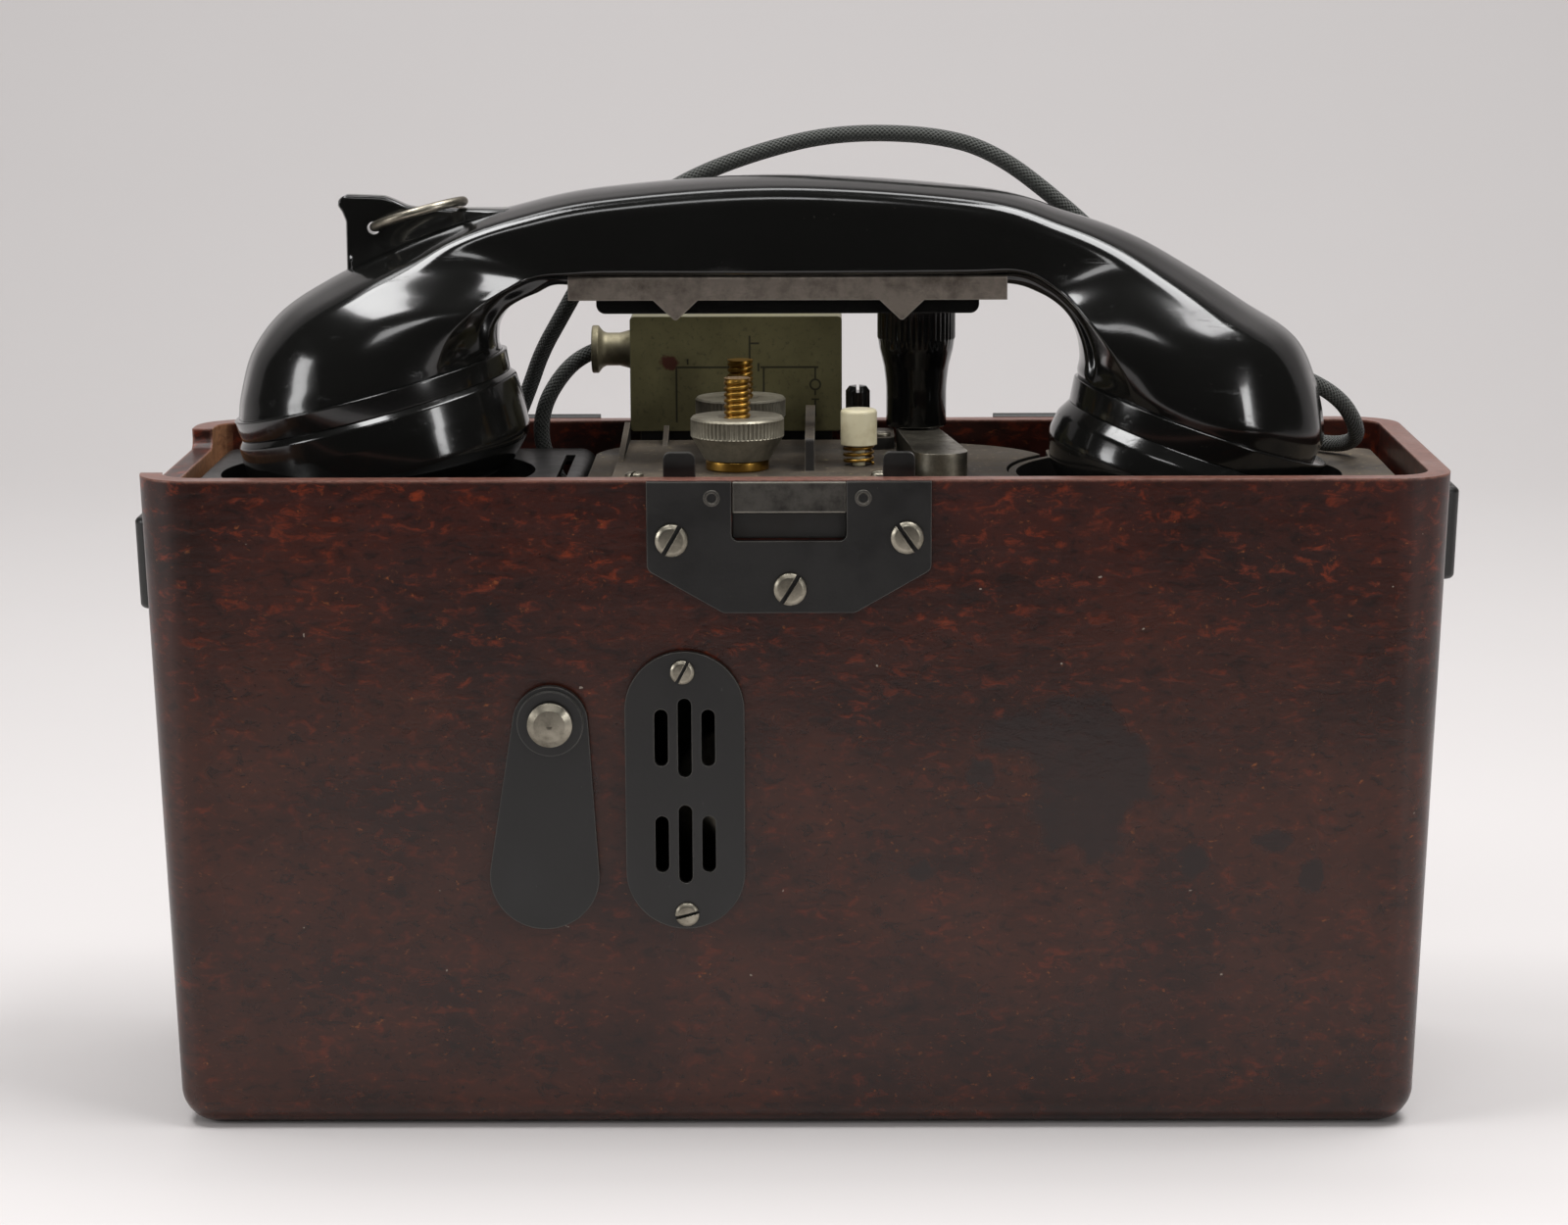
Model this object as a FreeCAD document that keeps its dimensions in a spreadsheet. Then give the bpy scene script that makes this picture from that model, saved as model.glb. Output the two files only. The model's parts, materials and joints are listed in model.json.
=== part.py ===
import FreeCAD, Part
import math
import os

import Sketcher
from FreeCAD import Placement, Rotation, Vector

# Field telephone: an open moulded case with its handset, terminals, crank, bell and generator.
# Millimetres. X to the right seen from the front, Y away from the viewer, Z up.
# The origin is at the bottom centre of the case.

doc = FreeCAD.newDocument("FieldTelephone")
sheet = doc.addObject("Spreadsheet::Sheet", "Sizes")
nodes = {}


class Size:
    """A number together with the sheet expression that it comes from."""

    def __init__(self, text, number):
        self.text = text
        self.number = number

    def __float__(self):
        return self.number

    def __neg__(self):
        return Size("(-%s)" % self.text, -self.number)

    def __add__(self, other):
        return Size("(%s + %s)" % (self.text, text_of(other)), self.number + float(other))

    def __radd__(self, other):
        return Size("(%s + %s)" % (text_of(other), self.text), float(other) + self.number)

    def __sub__(self, other):
        return Size("(%s - %s)" % (self.text, text_of(other)), self.number - float(other))

    def __rsub__(self, other):
        return Size("(%s - %s)" % (text_of(other), self.text), float(other) - self.number)

    def __mul__(self, other):
        return Size("(%s * %s)" % (self.text, text_of(other)), self.number * float(other))

    def __rmul__(self, other):
        return self * other

    def __truediv__(self, other):
        return Size("(%s / %s)" % (self.text, text_of(other)), self.number / float(other))


def text_of(value):
    """The expression text of a size or of a plain number."""
    if isinstance(value, Size):
        return value.text
    return "(%.9f)" % float(value)


def size(name, number):
    """A driving dimension: one named row of the sheet."""
    size.row += 1
    sheet.set("A%d" % size.row, name)
    sheet.set("B%d" % size.row, str(number))
    sheet.setAlias("B%d" % size.row, name)
    return Size("Sizes.%s" % name, float(number))


size.row = 0


def tangent(angle):
    """The tangent of an angle in degrees."""
    return Size("tan(%s * 1 deg)" % angle.text, math.tan(math.radians(float(angle))))


def bind(item, path, value):
    """Tie one property of an object to the sheet."""
    item.setExpression(path, text_of(value))


# Case
case_width = size("case_width", 278.4)
case_depth = size("case_depth", 100)
case_height = size("case_height", 143.2)
case_draft = size("case_draft", 2.06)
case_wall = size("case_wall", 4.6)
case_floor = size("case_floor", 5)
case_corner = size("case_corner", 7)
case_foot_round = size("case_foot_round", 8)
pillar_width = size("pillar_width", 6)
pillar_depth = size("pillar_depth", 6)
notch_depth = size("notch_depth", 4.5)
notch_start = size("notch_start", -37)
notch_end = size("notch_end", 33)
touch_gap = size("touch_gap", 0.3)
running_gap = size("running_gap", 0.05)

# Deck: the level that the panels share, a little below the rim
deck_level = size("deck_level", 138)
deck_thickness = size("deck_thickness", 4)
deck_left = size("deck_left", -45.6)
deck_right = size("deck_right", 57)
deck_front = size("deck_front", -42.3)
deck_back = size("deck_back", 44.2)
deck_left_round = size("deck_left_round", 20)
deck_right_round = size("deck_right_round", 29)
panel_gap = size("panel_gap", 0.5)

# Battery lid with its dish for the receiver
lid_left = size("lid_left", -132.7)
lid_front = size("lid_front", -41.6)
lid_back = size("lid_back", 39)
lid_sheet = size("lid_sheet", 1.5)
lid_round = size("lid_round", 3.2)
dish_x = size("dish_x", -92.6)
dish_radius = size("dish_radius", 34.8)
slot_width = size("slot_width", 2.2)
slot_inset = size("slot_inset", 4.2)
slot_back = size("slot_back", 25.6)
slot_front = size("slot_front", -30)

# Transmitter cup in the right end
cup_x = size("cup_x", 85)
cup_radius = size("cup_radius", 36)
cup_wall = size("cup_wall", 1.6)
cup_right = size("cup_right", 132.2)
cup_front = size("cup_front", -38)
cup_back = size("cup_back", 37.5)
cup_plate_drop = size("cup_plate_drop", 0.6)

# Front fittings, measured down from the rim
plate_sheet = size("plate_sheet", 1.6)
catch_width = size("catch_width", 59.8)
catch_shift = size("catch_shift", -1)
catch_side_drop = size("catch_side_drop", 19)
catch_drop = size("catch_drop", 28.2)
catch_foot = size("catch_foot", 27.8)
window_width = size("window_width", 24.2)
window_drop = size("window_drop", 12.8)
ear_width = size("ear_width", 6.8)
ear_spacing = size("ear_spacing", 46.3)
ear_rise = size("ear_rise", 5)
keeper_drop = size("keeper_drop", 22)
grille_x = size("grille_x", -23.3)
grille_width = size("grille_width", 25.4)
grille_top = size("grille_top", -36.6)
grille_bottom = size("grille_bottom", -97.4)
grille_slot_width = size("grille_slot_width", 2.9)
grille_slot_pitch = size("grille_slot_pitch", 5)
grille_long_slot = size("grille_long_slot", 17.2)
grille_short_slot = size("grille_short_slot", 12.4)
rivet_x = size("rivet_x", -51.8)
rivet_drop = size("rivet_drop", 52)
rivet_radius = size("rivet_radius", 4.8)
cover_top_radius = size("cover_top_radius", 8)
cover_foot_radius = size("cover_foot_radius", 11.7)
cover_foot_x = size("cover_foot_x", -53.5)
cover_foot_drop = size("cover_foot_drop", 85.7)
crank_hole_radius = size("crank_hole_radius", 7)

# Strap brackets on the short sides
bracket_band = size("bracket_band", 20.4)
bracket_length = size("bracket_length", 44)
bracket_reach = size("bracket_reach", 6.6)
bracket_sheet = size("bracket_sheet", 1.5)
bracket_foot = size("bracket_foot", 8)
bracket_left_drop = size("bracket_left_drop", 13.3)
bracket_right_drop = size("bracket_right_drop", 7.3)

# Hinge leaves on the back
hinge_x = size("hinge_x", 62)
hinge_length = size("hinge_length", 32)
hinge_sheet = size("hinge_sheet", 1.2)
hinge_knuckle = size("hinge_knuckle", 1.7)
hinge_drop = size("hinge_drop", 16)

# Terminal block, line posts and their nuts
block_left = size("block_left", -39.3)
block_right = size("block_right", 22.6)
block_front = size("block_front", -31)
block_back = size("block_back", 30.8)
block_thickness = size("block_thickness", 2.6)
rib_x = size("rib_x", 3.3)
rib_width = size("rib_width", 2.1)
rib_front = size("rib_front", -20)
rib_height = size("rib_height", 7.4)
cheek_front = size("cheek_front", -8.6)
cheek_height = size("cheek_height", 4.2)
post_x = size("post_x", -12.5)
post_front_y = size("post_front_y", -15)
post_rear_y = size("post_rear_y", 19)
post_radius = size("post_radius", 2.9)
post_height = size("post_height", 19.9)
collar_radius = size("collar_radius", 6.9)
collar_height = size("collar_height", 2.2)
nut_radius = size("nut_radius", 10.2)
nut_foot_radius = size("nut_foot_radius", 7.2)
nut_cone = size("nut_cone", 5.1)
nut_height = size("nut_height", 9.3)

# Test button, its spring and the fuse beside it
button_x = size("button_x", 14)
button_y = size("button_y", -10)
button_radius = size("button_radius", 4)
button_height = size("button_height", 7.8)
button_gap = size("button_gap", 4.6)
button_stem = size("button_stem", 1.4)
spring_wire = size("spring_wire", 0.7)
spring_radius = size("spring_radius", 3.1)
spring_turns = size("spring_turns", 3)
fuse_x = size("fuse_x", 14.05)
fuse_y = size("fuse_y", 20)
fuse_radius = size("fuse_radius", 2.75)
fuse_top = size("fuse_top", 154.7)
fuse_block_left = size("fuse_block_left", 10.9)
fuse_block_height = size("fuse_block_height", 2.7)
fuse_block_front = size("fuse_block_front", 14)

# Painted box over the cord's junction
box_left = size("box_left", -38)
box_right = size("box_right", 10.5)
box_front = size("box_front", 31.2)
box_back = size("box_back", 45)
box_bottom = size("box_bottom", 142.6)
box_top = size("box_top", 169)
box_sheet = size("box_sheet", 1.2)
gland_z = size("gland_z", 160.8)
gland_y = size("gland_y", 38)
gland_flange = size("gland_flange", 5.5)
gland_neck = size("gland_neck", 3.8)
gland_foot = size("gland_foot", 4.5)
gland_length = size("gland_length", 8.6)

# Crank stowed on the deck
arm_thickness = size("arm_thickness", 5.3)
arm_front_x = size("arm_front_x", 32)
arm_front_y = size("arm_front_y", -9.4)
arm_back_x = size("arm_back_x", 27.5)
arm_back_y = size("arm_back_y", 30.6)
arm_front_radius = size("arm_front_radius", 5.9)
arm_back_radius = size("arm_back_radius", 4.7)
stub_radius = size("stub_radius", 4.4)
stub_length = size("stub_length", 13)
grip_foot_radius = size("grip_foot_radius", 6.9)
grip_ring_radius = size("grip_ring_radius", 8.9)
grip_waist_height = size("grip_waist_height", 19)
grip_height = size("grip_height", 34)
grip_pin_radius = size("grip_pin_radius", 2.6)

# Handset: both seams lie on tilted circles
receiver_x = size("receiver_x", -93.95)
receiver_z = size("receiver_z", 157.7)
receiver_tilt = size("receiver_tilt", 14.57)
receiver_radius = size("receiver_radius", 30.2)
receiver_collar_height = size("receiver_collar_height", 4.7)
receiver_cap_radius = size("receiver_cap_radius", 31.9)
receiver_cap_height = size("receiver_cap_height", 21)
transmitter_x = size("transmitter_x", 89.65)
transmitter_z = size("transmitter_z", 149.35)
transmitter_tilt = size("transmitter_tilt", 19.17)
transmitter_radius = size("transmitter_radius", 29.4)
transmitter_collar_height = size("transmitter_collar_height", 5.6)
transmitter_cap_radius = size("transmitter_cap_radius", 30.9)
transmitter_cap_height = size("transmitter_cap_height", 19)
grip_half_width = size("grip_half_width", 13)
fin_thickness = size("fin_thickness", 5)
fin_hole_radius = size("fin_hole_radius", 2.3)
ring_hole_x = size("ring_hole_x", -92.3)
ring_hole_z = size("ring_hole_z", 192.2)
ring_radius = size("ring_radius", 10.2)
ring_wire = size("ring_wire", 1.05)
ring_tilt = size("ring_tilt", 16.2)
ring_lean = size("ring_lean", 10)
talk_left = size("talk_left", -49.3)
talk_right = size("talk_right", 46.3)
talk_level = size("talk_level", 180.1)
talk_width = size("talk_width", 23.2)
talk_depth = size("talk_depth", 5.3)
talk_seat = size("talk_seat", 2.2)
talk_travel = size("talk_travel", 3)
tooth_width = size("tooth_width", 10.6)
tooth_depth = size("tooth_depth", 4.6)

# Generator behind the crank hole
magnet_count = 3
generator_half_width = size("generator_half_width", 21.5)
generator_front = size("generator_front", -33)
generator_back = size("generator_back", 36.5)
generator_plate = size("generator_plate", 3)
generator_top = size("generator_top", 117)
generator_foot = size("generator_foot", 34)
gear_module = size("gear_module", 1)
wheel_teeth = size("wheel_teeth", 40)
pinion_teeth = size("pinion_teeth", 10)
gear_width = size("gear_width", 3.4)
drive_radius = size("drive_radius", 4)
armature_radius = size("armature_radius", 12)
armature_shaft = size("armature_shaft", 3)
armature_gap = size("armature_gap", 0.5)
pole_half_width = size("pole_half_width", 13)
magnet_leg = size("magnet_leg", 8)
magnet_depth = size("magnet_depth", 14)

# Bell behind the grille
gong_radius = size("gong_radius", 18)
gong_height = size("gong_height", 9)
gong_sheet = size("gong_sheet", 1.2)
gong_left_x = size("gong_left_x", -10)
gong_z = size("gong_z", 68)
gong_y = size("gong_y", -20)
gong_post_radius = size("gong_post_radius", 3)
clapper_ball = size("clapper_ball", 3)
clapper_play = size("clapper_play", 1.5)
clapper_drop = size("clapper_drop", 40)
coil_radius = size("coil_radius", 8)
coil_length = size("coil_length", 24)

# Battery, induction coil and condenser
cell_radius = size("cell_radius", 17)
cell_height = size("cell_height", 100)
cell_x = size("cell_x", -106)
holder_height = size("holder_height", 18)
chassis_left = size("chassis_left", -78)
chassis_right = size("chassis_right", 46)
chassis_sheet = size("chassis_sheet", 1.5)
chassis_flange = size("chassis_flange", 14)
chassis_step = size("chassis_step", 119)
spool_length = size("spool_length", 46)
spool_side = size("spool_side", 30)
condenser_width = size("condenser_width", 48)
condenser_depth = size("condenser_depth", 26)
condenser_height = size("condenser_height", 62)

# Cord: braided, from the handset's right end to the gland of the painted box
cord_radius = size("cord_radius", 1.85)

doc.recompute()

foot_slope = tangent(case_draft)
case_foot_width = case_width - 2 * case_height * foot_slope
case_foot_depth = case_depth - 2 * case_height * foot_slope
block_top = deck_level + block_thickness
deck_under = deck_level - deck_thickness


# Drawing helpers


def new_body(name):
    """An empty body that carries one sub-part or one tool."""
    body = doc.addObject("PartDesign::Body", name)
    body.Label = name
    return body


def new_sketch(body, plane, offset):
    """A sketch on one of the body's own planes, moved along that plane's normal."""
    sketch = body.newObject("Sketcher::SketchObject", "Outline")
    support = [item for item in body.Origin.OriginFeatures if item.Role == plane + "_Plane"][0]
    sketch.AttachmentSupport = [(support, "")]
    sketch.MapMode = "FlatFace"
    bind(sketch, "AttachmentOffset.Base.z", offset)
    return sketch


def fix_value(sketch, constraint, value):
    """Add one dimension and tie it to the sheet."""
    index = sketch.addConstraint(constraint)
    sketch.setExpression("Constraints[%d]" % index, text_of(value))


def fix_point(sketch, shape, position, x, y):
    """Place one point of the drawing from the sketch's origin."""
    fix_value(sketch, Sketcher.Constraint("DistanceX", -1, 1, shape, position, float(x)), x)
    fix_value(sketch, Sketcher.Constraint("DistanceY", -1, 1, shape, position, float(y)), y)


def arc_between(sketch, centre, radius, start, end):
    """A counter-clockwise arc between two angles in radians."""
    if end < start:
        end += 2 * math.pi
    circle = Part.Circle(centre, Vector(0, 0, 1), radius)
    return sketch.addGeometry(Part.ArcOfCircle(circle, start, end))


def angle_of(vector):
    return math.atan2(vector.y, vector.x)


def draw_outline(sketch, points):
    """A closed outline; a point with a third value gets a tangent arc of that radius."""
    count = len(points)
    flat = [Vector(float(point[0]), float(point[1]), 0) for point in points]
    starts, ends, arcs = [], [], []
    for index, point in enumerate(points):
        here = flat[index]
        if len(point) == 2:
            starts.append(here)
            ends.append(here)
            arcs.append(None)
            continue
        radius = float(point[2])
        back = (flat[index - 1] - here).normalize()
        ahead = (flat[(index + 1) % count] - here).normalize()
        half = back.getAngle(ahead) / 2
        centre = here + (back + ahead).normalize() * (radius / math.sin(half))
        starts.append(here + back * (radius / math.tan(half)))
        ends.append(here + ahead * (radius / math.tan(half)))
        arcs.append(centre)
    lines = []
    for index in range(count):
        segment = Part.LineSegment(ends[index], starts[(index + 1) % count])
        lines.append(sketch.addGeometry(segment))
    for index, point in enumerate(points):
        before, after = lines[index - 1], lines[index]
        if arcs[index] is None:
            sketch.addConstraint(Sketcher.Constraint("Coincident", before, 2, after, 1))
            fix_point(sketch, after, 1, point[0], point[1])
            continue
        centre = arcs[index]
        first, last = angle_of(starts[index] - centre), angle_of(ends[index] - centre)
        left_turn = (starts[index] - centre).cross(ends[index] - centre).z > 0
        if left_turn:
            arc = arc_between(sketch, centre, float(point[2]), first, last)
        else:
            arc = arc_between(sketch, centre, float(point[2]), last, first)
        begin, finish = (1, 2) if left_turn else (2, 1)
        sketch.addConstraint(Sketcher.Constraint("Tangent", before, 2, arc, begin))
        sketch.addConstraint(Sketcher.Constraint("Tangent", after, 1, arc, finish))
        fix_value(sketch, Sketcher.Constraint("Radius", arc, float(point[2])), point[2])
        corner = sketch.addGeometry(Part.Point(flat[index]), True)
        sketch.addConstraint(Sketcher.Constraint("PointOnObject", corner, 1, before))
        sketch.addConstraint(Sketcher.Constraint("PointOnObject", corner, 1, after))
        fix_point(sketch, corner, 1, point[0], point[1])


def draw_circle(sketch, x, y, radius):
    centre = Vector(float(x), float(y), 0)
    circle = sketch.addGeometry(Part.Circle(centre, Vector(0, 0, 1), float(radius)))
    fix_point(sketch, circle, 3, x, y)
    fix_value(sketch, Sketcher.Constraint("Radius", circle, float(radius)), radius)


def draw_strap(sketch, x1, y1, radius1, x2, y2, radius2):
    """Two round ends joined by their common tangents."""
    first, second = Vector(float(x1), float(y1), 0), Vector(float(x2), float(y2), 0)
    along = second - first
    course = angle_of(along)
    lean = math.acos((float(radius1) - float(radius2)) / along.Length)
    arc1 = arc_between(sketch, first, float(radius1), course + lean, course - lean)
    arc2 = arc_between(sketch, second, float(radius2), course - lean, course + lean)

    def rim(centre, radius, angle):
        return centre + Vector(math.cos(angle), math.sin(angle), 0) * float(radius)

    upper = sketch.addGeometry(Part.LineSegment(rim(first, radius1, course + lean),
                                                rim(second, radius2, course + lean)))
    lower = sketch.addGeometry(Part.LineSegment(rim(second, radius2, course - lean),
                                                rim(first, radius1, course - lean)))
    for line, end, arc, position in ((upper, 1, arc1, 1), (upper, 2, arc2, 2),
                                     (lower, 1, arc2, 1), (lower, 2, arc1, 2)):
        sketch.addConstraint(Sketcher.Constraint("Tangent", line, end, arc, position))
    for arc, x, y, radius in ((arc1, x1, y1, radius1), (arc2, x2, y2, radius2)):
        fix_point(sketch, arc, 3, x, y)
        fix_value(sketch, Sketcher.Constraint("Radius", arc, float(radius)), radius)


def pad_between(body, plane, draw, low, high):
    """Draw on a plane of the body and pad the outline from low to high along its axis."""
    offset = -high if plane == "XZ" else low
    sketch = new_sketch(body, plane, offset)
    draw(sketch)
    pad = body.newObject("PartDesign::Pad", "Pad")
    pad.Profile = sketch
    bind(pad, "Length", high - low)
    return pad


def prism(name, plane, points, low, high):
    """A plate or bar: a closed outline padded from low to high."""
    body = new_body(name)
    pad_between(body, plane, lambda sketch: draw_outline(sketch, points), low, high)
    return body


def disc(name, plane, x, y, radius, low, high):
    body = new_body(name)
    pad_between(body, plane, lambda sketch: draw_circle(sketch, x, y, radius), low, high)
    return body


def strap(name, plane, ends, low, high):
    body = new_body(name)
    pad_between(body, plane, lambda sketch: draw_strap(sketch, *ends), low, high)
    return body


def turned(name, points):
    """A turned piece about the body's own Z axis, from its half profile of radius and height."""
    body = new_body(name)
    sketch = new_sketch(body, "XZ", 0)
    draw_outline(sketch, points)
    turn = body.newObject("PartDesign::Revolution", "Turn")
    turn.Profile = sketch
    turn.ReferenceAxis = (sketch, ["V_Axis"])
    turn.Angle = 360
    return body


def place(item, x, y, z, rotation=None):
    """Put a finished object where it belongs, with its position tied to the sheet."""
    if rotation is not None:
        item.Placement = Placement(Vector(0, 0, 0), rotation)
    bind(item, "Placement.Base.x", x)
    bind(item, "Placement.Base.y", y)
    bind(item, "Placement.Base.z", z)
    return item


def round_edges(body, pick, radius):
    """Round the edges of the body's last feature that the test picks."""
    doc.recompute()
    last = body.Tip
    names = ["Edge%d" % (index + 1) for index, edge in enumerate(last.Shape.Edges) if pick(edge)]
    fillet = body.newObject("PartDesign::Fillet", "Round")
    fillet.Base = (last, names)
    bind(fillet, "Radius", radius)
    return body


def level_edge(height):
    """A test for edges that lie wholly at one height."""
    def test(edge):
        return abs(edge.BoundBox.ZMin - height) < 0.01 and abs(edge.BoundBox.ZMax - height) < 0.01
    return test


def fuse(name, *pieces):
    joined = doc.addObject("Part::MultiFuse", name)
    joined.Shapes = list(pieces)
    joined.Refine = True
    joined.Label = name
    return joined


def cut(name, base, *tools):
    if len(tools) == 1:
        tool = tools[0]
    else:
        tool = fuse(name + "_tools", *tools)
    result = doc.addObject("Part::Cut", name)
    result.Base = base
    result.Tool = tool
    result.Refine = True
    result.Label = name
    return result


def keep(item):
    """Register a finished sub-part under its own label."""
    nodes[item.Label] = item
    return item


def rectangle(left, front, right, back, radius=None):
    """The four corners of a plate, rounded if a radius is given."""
    corners = [(left, front), (right, front), (right, back), (left, back)]
    if radius is None:
        return corners
    return [(x, y, radius) for x, y in corners]


front_tilt = Rotation(Vector(1, 0, 0), float(case_draft))
back_tilt = Rotation(Vector(0, 0, 1), 180).multiply(Rotation(Vector(1, 0, 0), float(case_draft)))
right_tilt = Rotation(Vector(0, 1, 0), float(case_draft))
left_tilt = Rotation(Vector(0, 0, 1), 180).multiply(Rotation(Vector(0, 1, 0), float(case_draft)))


def on_front(item):
    """Lay a piece on the leaning front wall; its Y is 0 on the wall, its Z is 0 at the rim."""
    return place(item, 0, -case_depth / 2, case_height, front_tilt)


# Case


def tapered_block(name, width, depth, corner, bottom, top):
    """A rounded block that widens upwards with the draft of the case."""
    body = new_body(name)
    sketch = new_sketch(body, "XY", bottom)
    draw_outline(sketch, rectangle(-width / 2, -depth / 2, width / 2, depth / 2, corner))
    pad = body.newObject("PartDesign::Pad", "Pad")
    pad.Profile = sketch
    bind(pad, "Length", top - bottom)
    bind(pad, "TaperAngle", case_draft)
    return body


def make_case():
    outer = tapered_block("case_outside", case_foot_width, case_foot_depth, case_corner,
                          Size("0", 0.0), case_height)
    round_edges(outer, level_edge(0), case_foot_round)
    hollow_width = case_foot_width - 2 * case_wall + 2 * case_floor * foot_slope
    hollow_depth = case_foot_depth - 2 * case_wall + 2 * case_floor * foot_slope
    hollow = tapered_block("case_hollow", hollow_width, hollow_depth,
                           case_corner - case_wall + 1, case_floor, case_height + 1)
    pillars = []
    for label, side in (("left", -1), ("right", 1)):
        for end, way in (("front", -1), ("back", 1)):
            inner_x = side * (case_foot_width / 2 - case_wall - pillar_width)
            inner_y = way * (case_foot_depth / 2 - case_wall - pillar_depth)
            outer_x, outer_y = side * case_width / 2, way * case_depth / 2
            left, right = (outer_x, inner_x) if side < 0 else (inner_x, outer_x)
            front, back = (outer_y, inner_y) if way < 0 else (inner_y, outer_y)
            pillars.append(prism("case_pillar_%s_%s" % (label, end), "XY",
                                 rectangle(left, front, right, back), case_floor - 1, deck_under))
    room = cut("case_room", hollow, *pillars)
    notch_low = case_height - notch_depth
    notch = prism("case_notch", "YZ",
                  [(notch_start, notch_low, 3), (notch_end, notch_low, 3),
                   (notch_end, case_height + 4), (notch_start, case_height + 4)],
                  -case_width / 2 - 2, -case_width / 2 + case_wall + 4)
    window = on_front(prism("case_window", "XZ",
                            rectangle(catch_shift - window_width / 2 + 2, -window_drop + 2,
                                      catch_shift + window_width / 2 - 2, -window_drop + 6),
                            Size("(-2)", -2.0), case_wall / 2))
    hole = on_front(disc("case_crank_hole", "XZ", cover_foot_x, -cover_foot_drop,
                         crank_hole_radius, Size("(-2)", -2.0), case_wall + 2))
    sound = on_front(strap("case_sound_hole", "XZ",
                           (grille_x, grille_bottom + grille_width / 2, grille_width / 2 - 4,
                            grille_x, grille_top - grille_width / 2, grille_width / 2 - 4),
                           Size("(-2)", -2.0), case_wall + 2))
    keep(cut("case_shell", outer, room, notch, window, hole, sound))


def make_front_fittings():
    half = catch_width / 2
    foot = catch_foot / 2
    left, right = catch_shift - half, catch_shift + half
    window_left, window_right = catch_shift - window_width / 2, catch_shift + window_width / 2
    catch = prism("catch_plate", "XZ",
                  [(left, -0.2), (left, -catch_side_drop, 2), (catch_shift - foot, -catch_drop, 2),
                   (catch_shift + foot, -catch_drop, 2), (right, -catch_side_drop, 2), (right, -0.2),
                   (window_right, -0.2), (window_right, -window_drop, 1.5),
                   (window_left, -window_drop, 1.5), (window_left, -0.2)],
                  -plate_sheet, Size("0", 0.0))
    keep(on_front(catch))

    inside = case_wall / math.cos(math.radians(float(case_draft)))
    ear_left = catch_shift - ear_spacing / 2
    ear_right = catch_shift + ear_spacing / 2
    half_ear = ear_width / 2
    keeper = prism("catch_keeper", "XZ",
                   [(ear_left - half_ear, -keeper_drop), (ear_right + half_ear, -keeper_drop),
                    (ear_right + half_ear, ear_rise, 1.6), (ear_right - half_ear, ear_rise, 1.6),
                    (ear_right - half_ear, -2), (ear_left + half_ear, -2),
                    (ear_left + half_ear, ear_rise, 1.6), (ear_left - half_ear, ear_rise, 1.6)],
                   inside, inside + plate_sheet)
    keep(on_front(keeper))

    grille = new_body("grille_plate")
    end_radius = grille_width / 2

    def draw(sketch):
        draw_strap(sketch, grille_x, grille_bottom + end_radius, end_radius,
                   grille_x, grille_top - end_radius, end_radius)
        middle = (grille_top + grille_bottom) / 2
        for column in (-1, 0, 1):
            length = grille_long_slot if column == 0 else grille_short_slot
            reach = length / 2 - grille_slot_width / 2
            x = grille_x + column * grille_slot_pitch
            for row in (-1, 1):
                y = middle + row * grille_long_slot * 0.68
                draw_strap(sketch, x, y - reach, grille_slot_width / 2,
                           x, y + reach, grille_slot_width / 2)

    pad_between(grille, "XZ", draw, -plate_sheet, Size("0", 0.0))
    keep(on_front(grille))

    shank = rivet_radius * 0.55
    face = touch_gap + plate_sheet + 1.1
    rivet = turned("cover_rivet",
                   [(0, 0), (shank, 0), (shank, face), (rivet_radius, face),
                    (rivet_radius, face + 0.7), (rivet_radius * 0.7, face + 1.7), (0, face + 1.9)])
    rivet_turn = front_tilt.multiply(Rotation(Vector(1, 0, 0), 90))
    drop_y = -case_depth / 2 + rivet_drop * foot_slope
    keep(place(rivet, rivet_x, drop_y, case_height - rivet_drop, rivet_turn))

    leaf = strap("cover_leaf", "XZ",
                 (cover_foot_x, -cover_foot_drop, cover_foot_radius,
                  rivet_x, -rivet_drop, cover_top_radius),
                 -touch_gap - plate_sheet, -touch_gap)
    boss = disc("cover_boss", "XZ", rivet_x, -rivet_drop, cover_top_radius - 1,
                -touch_gap - plate_sheet - 0.8, -touch_gap)
    bore = disc("cover_bore", "XZ", rivet_x, -rivet_drop, shank + running_gap,
                -touch_gap - plate_sheet - 3, Size("1", 1.0))
    keep(on_front(cut("crank_hole_cover", fuse("cover_solid", leaf, boss), bore)))


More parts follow.
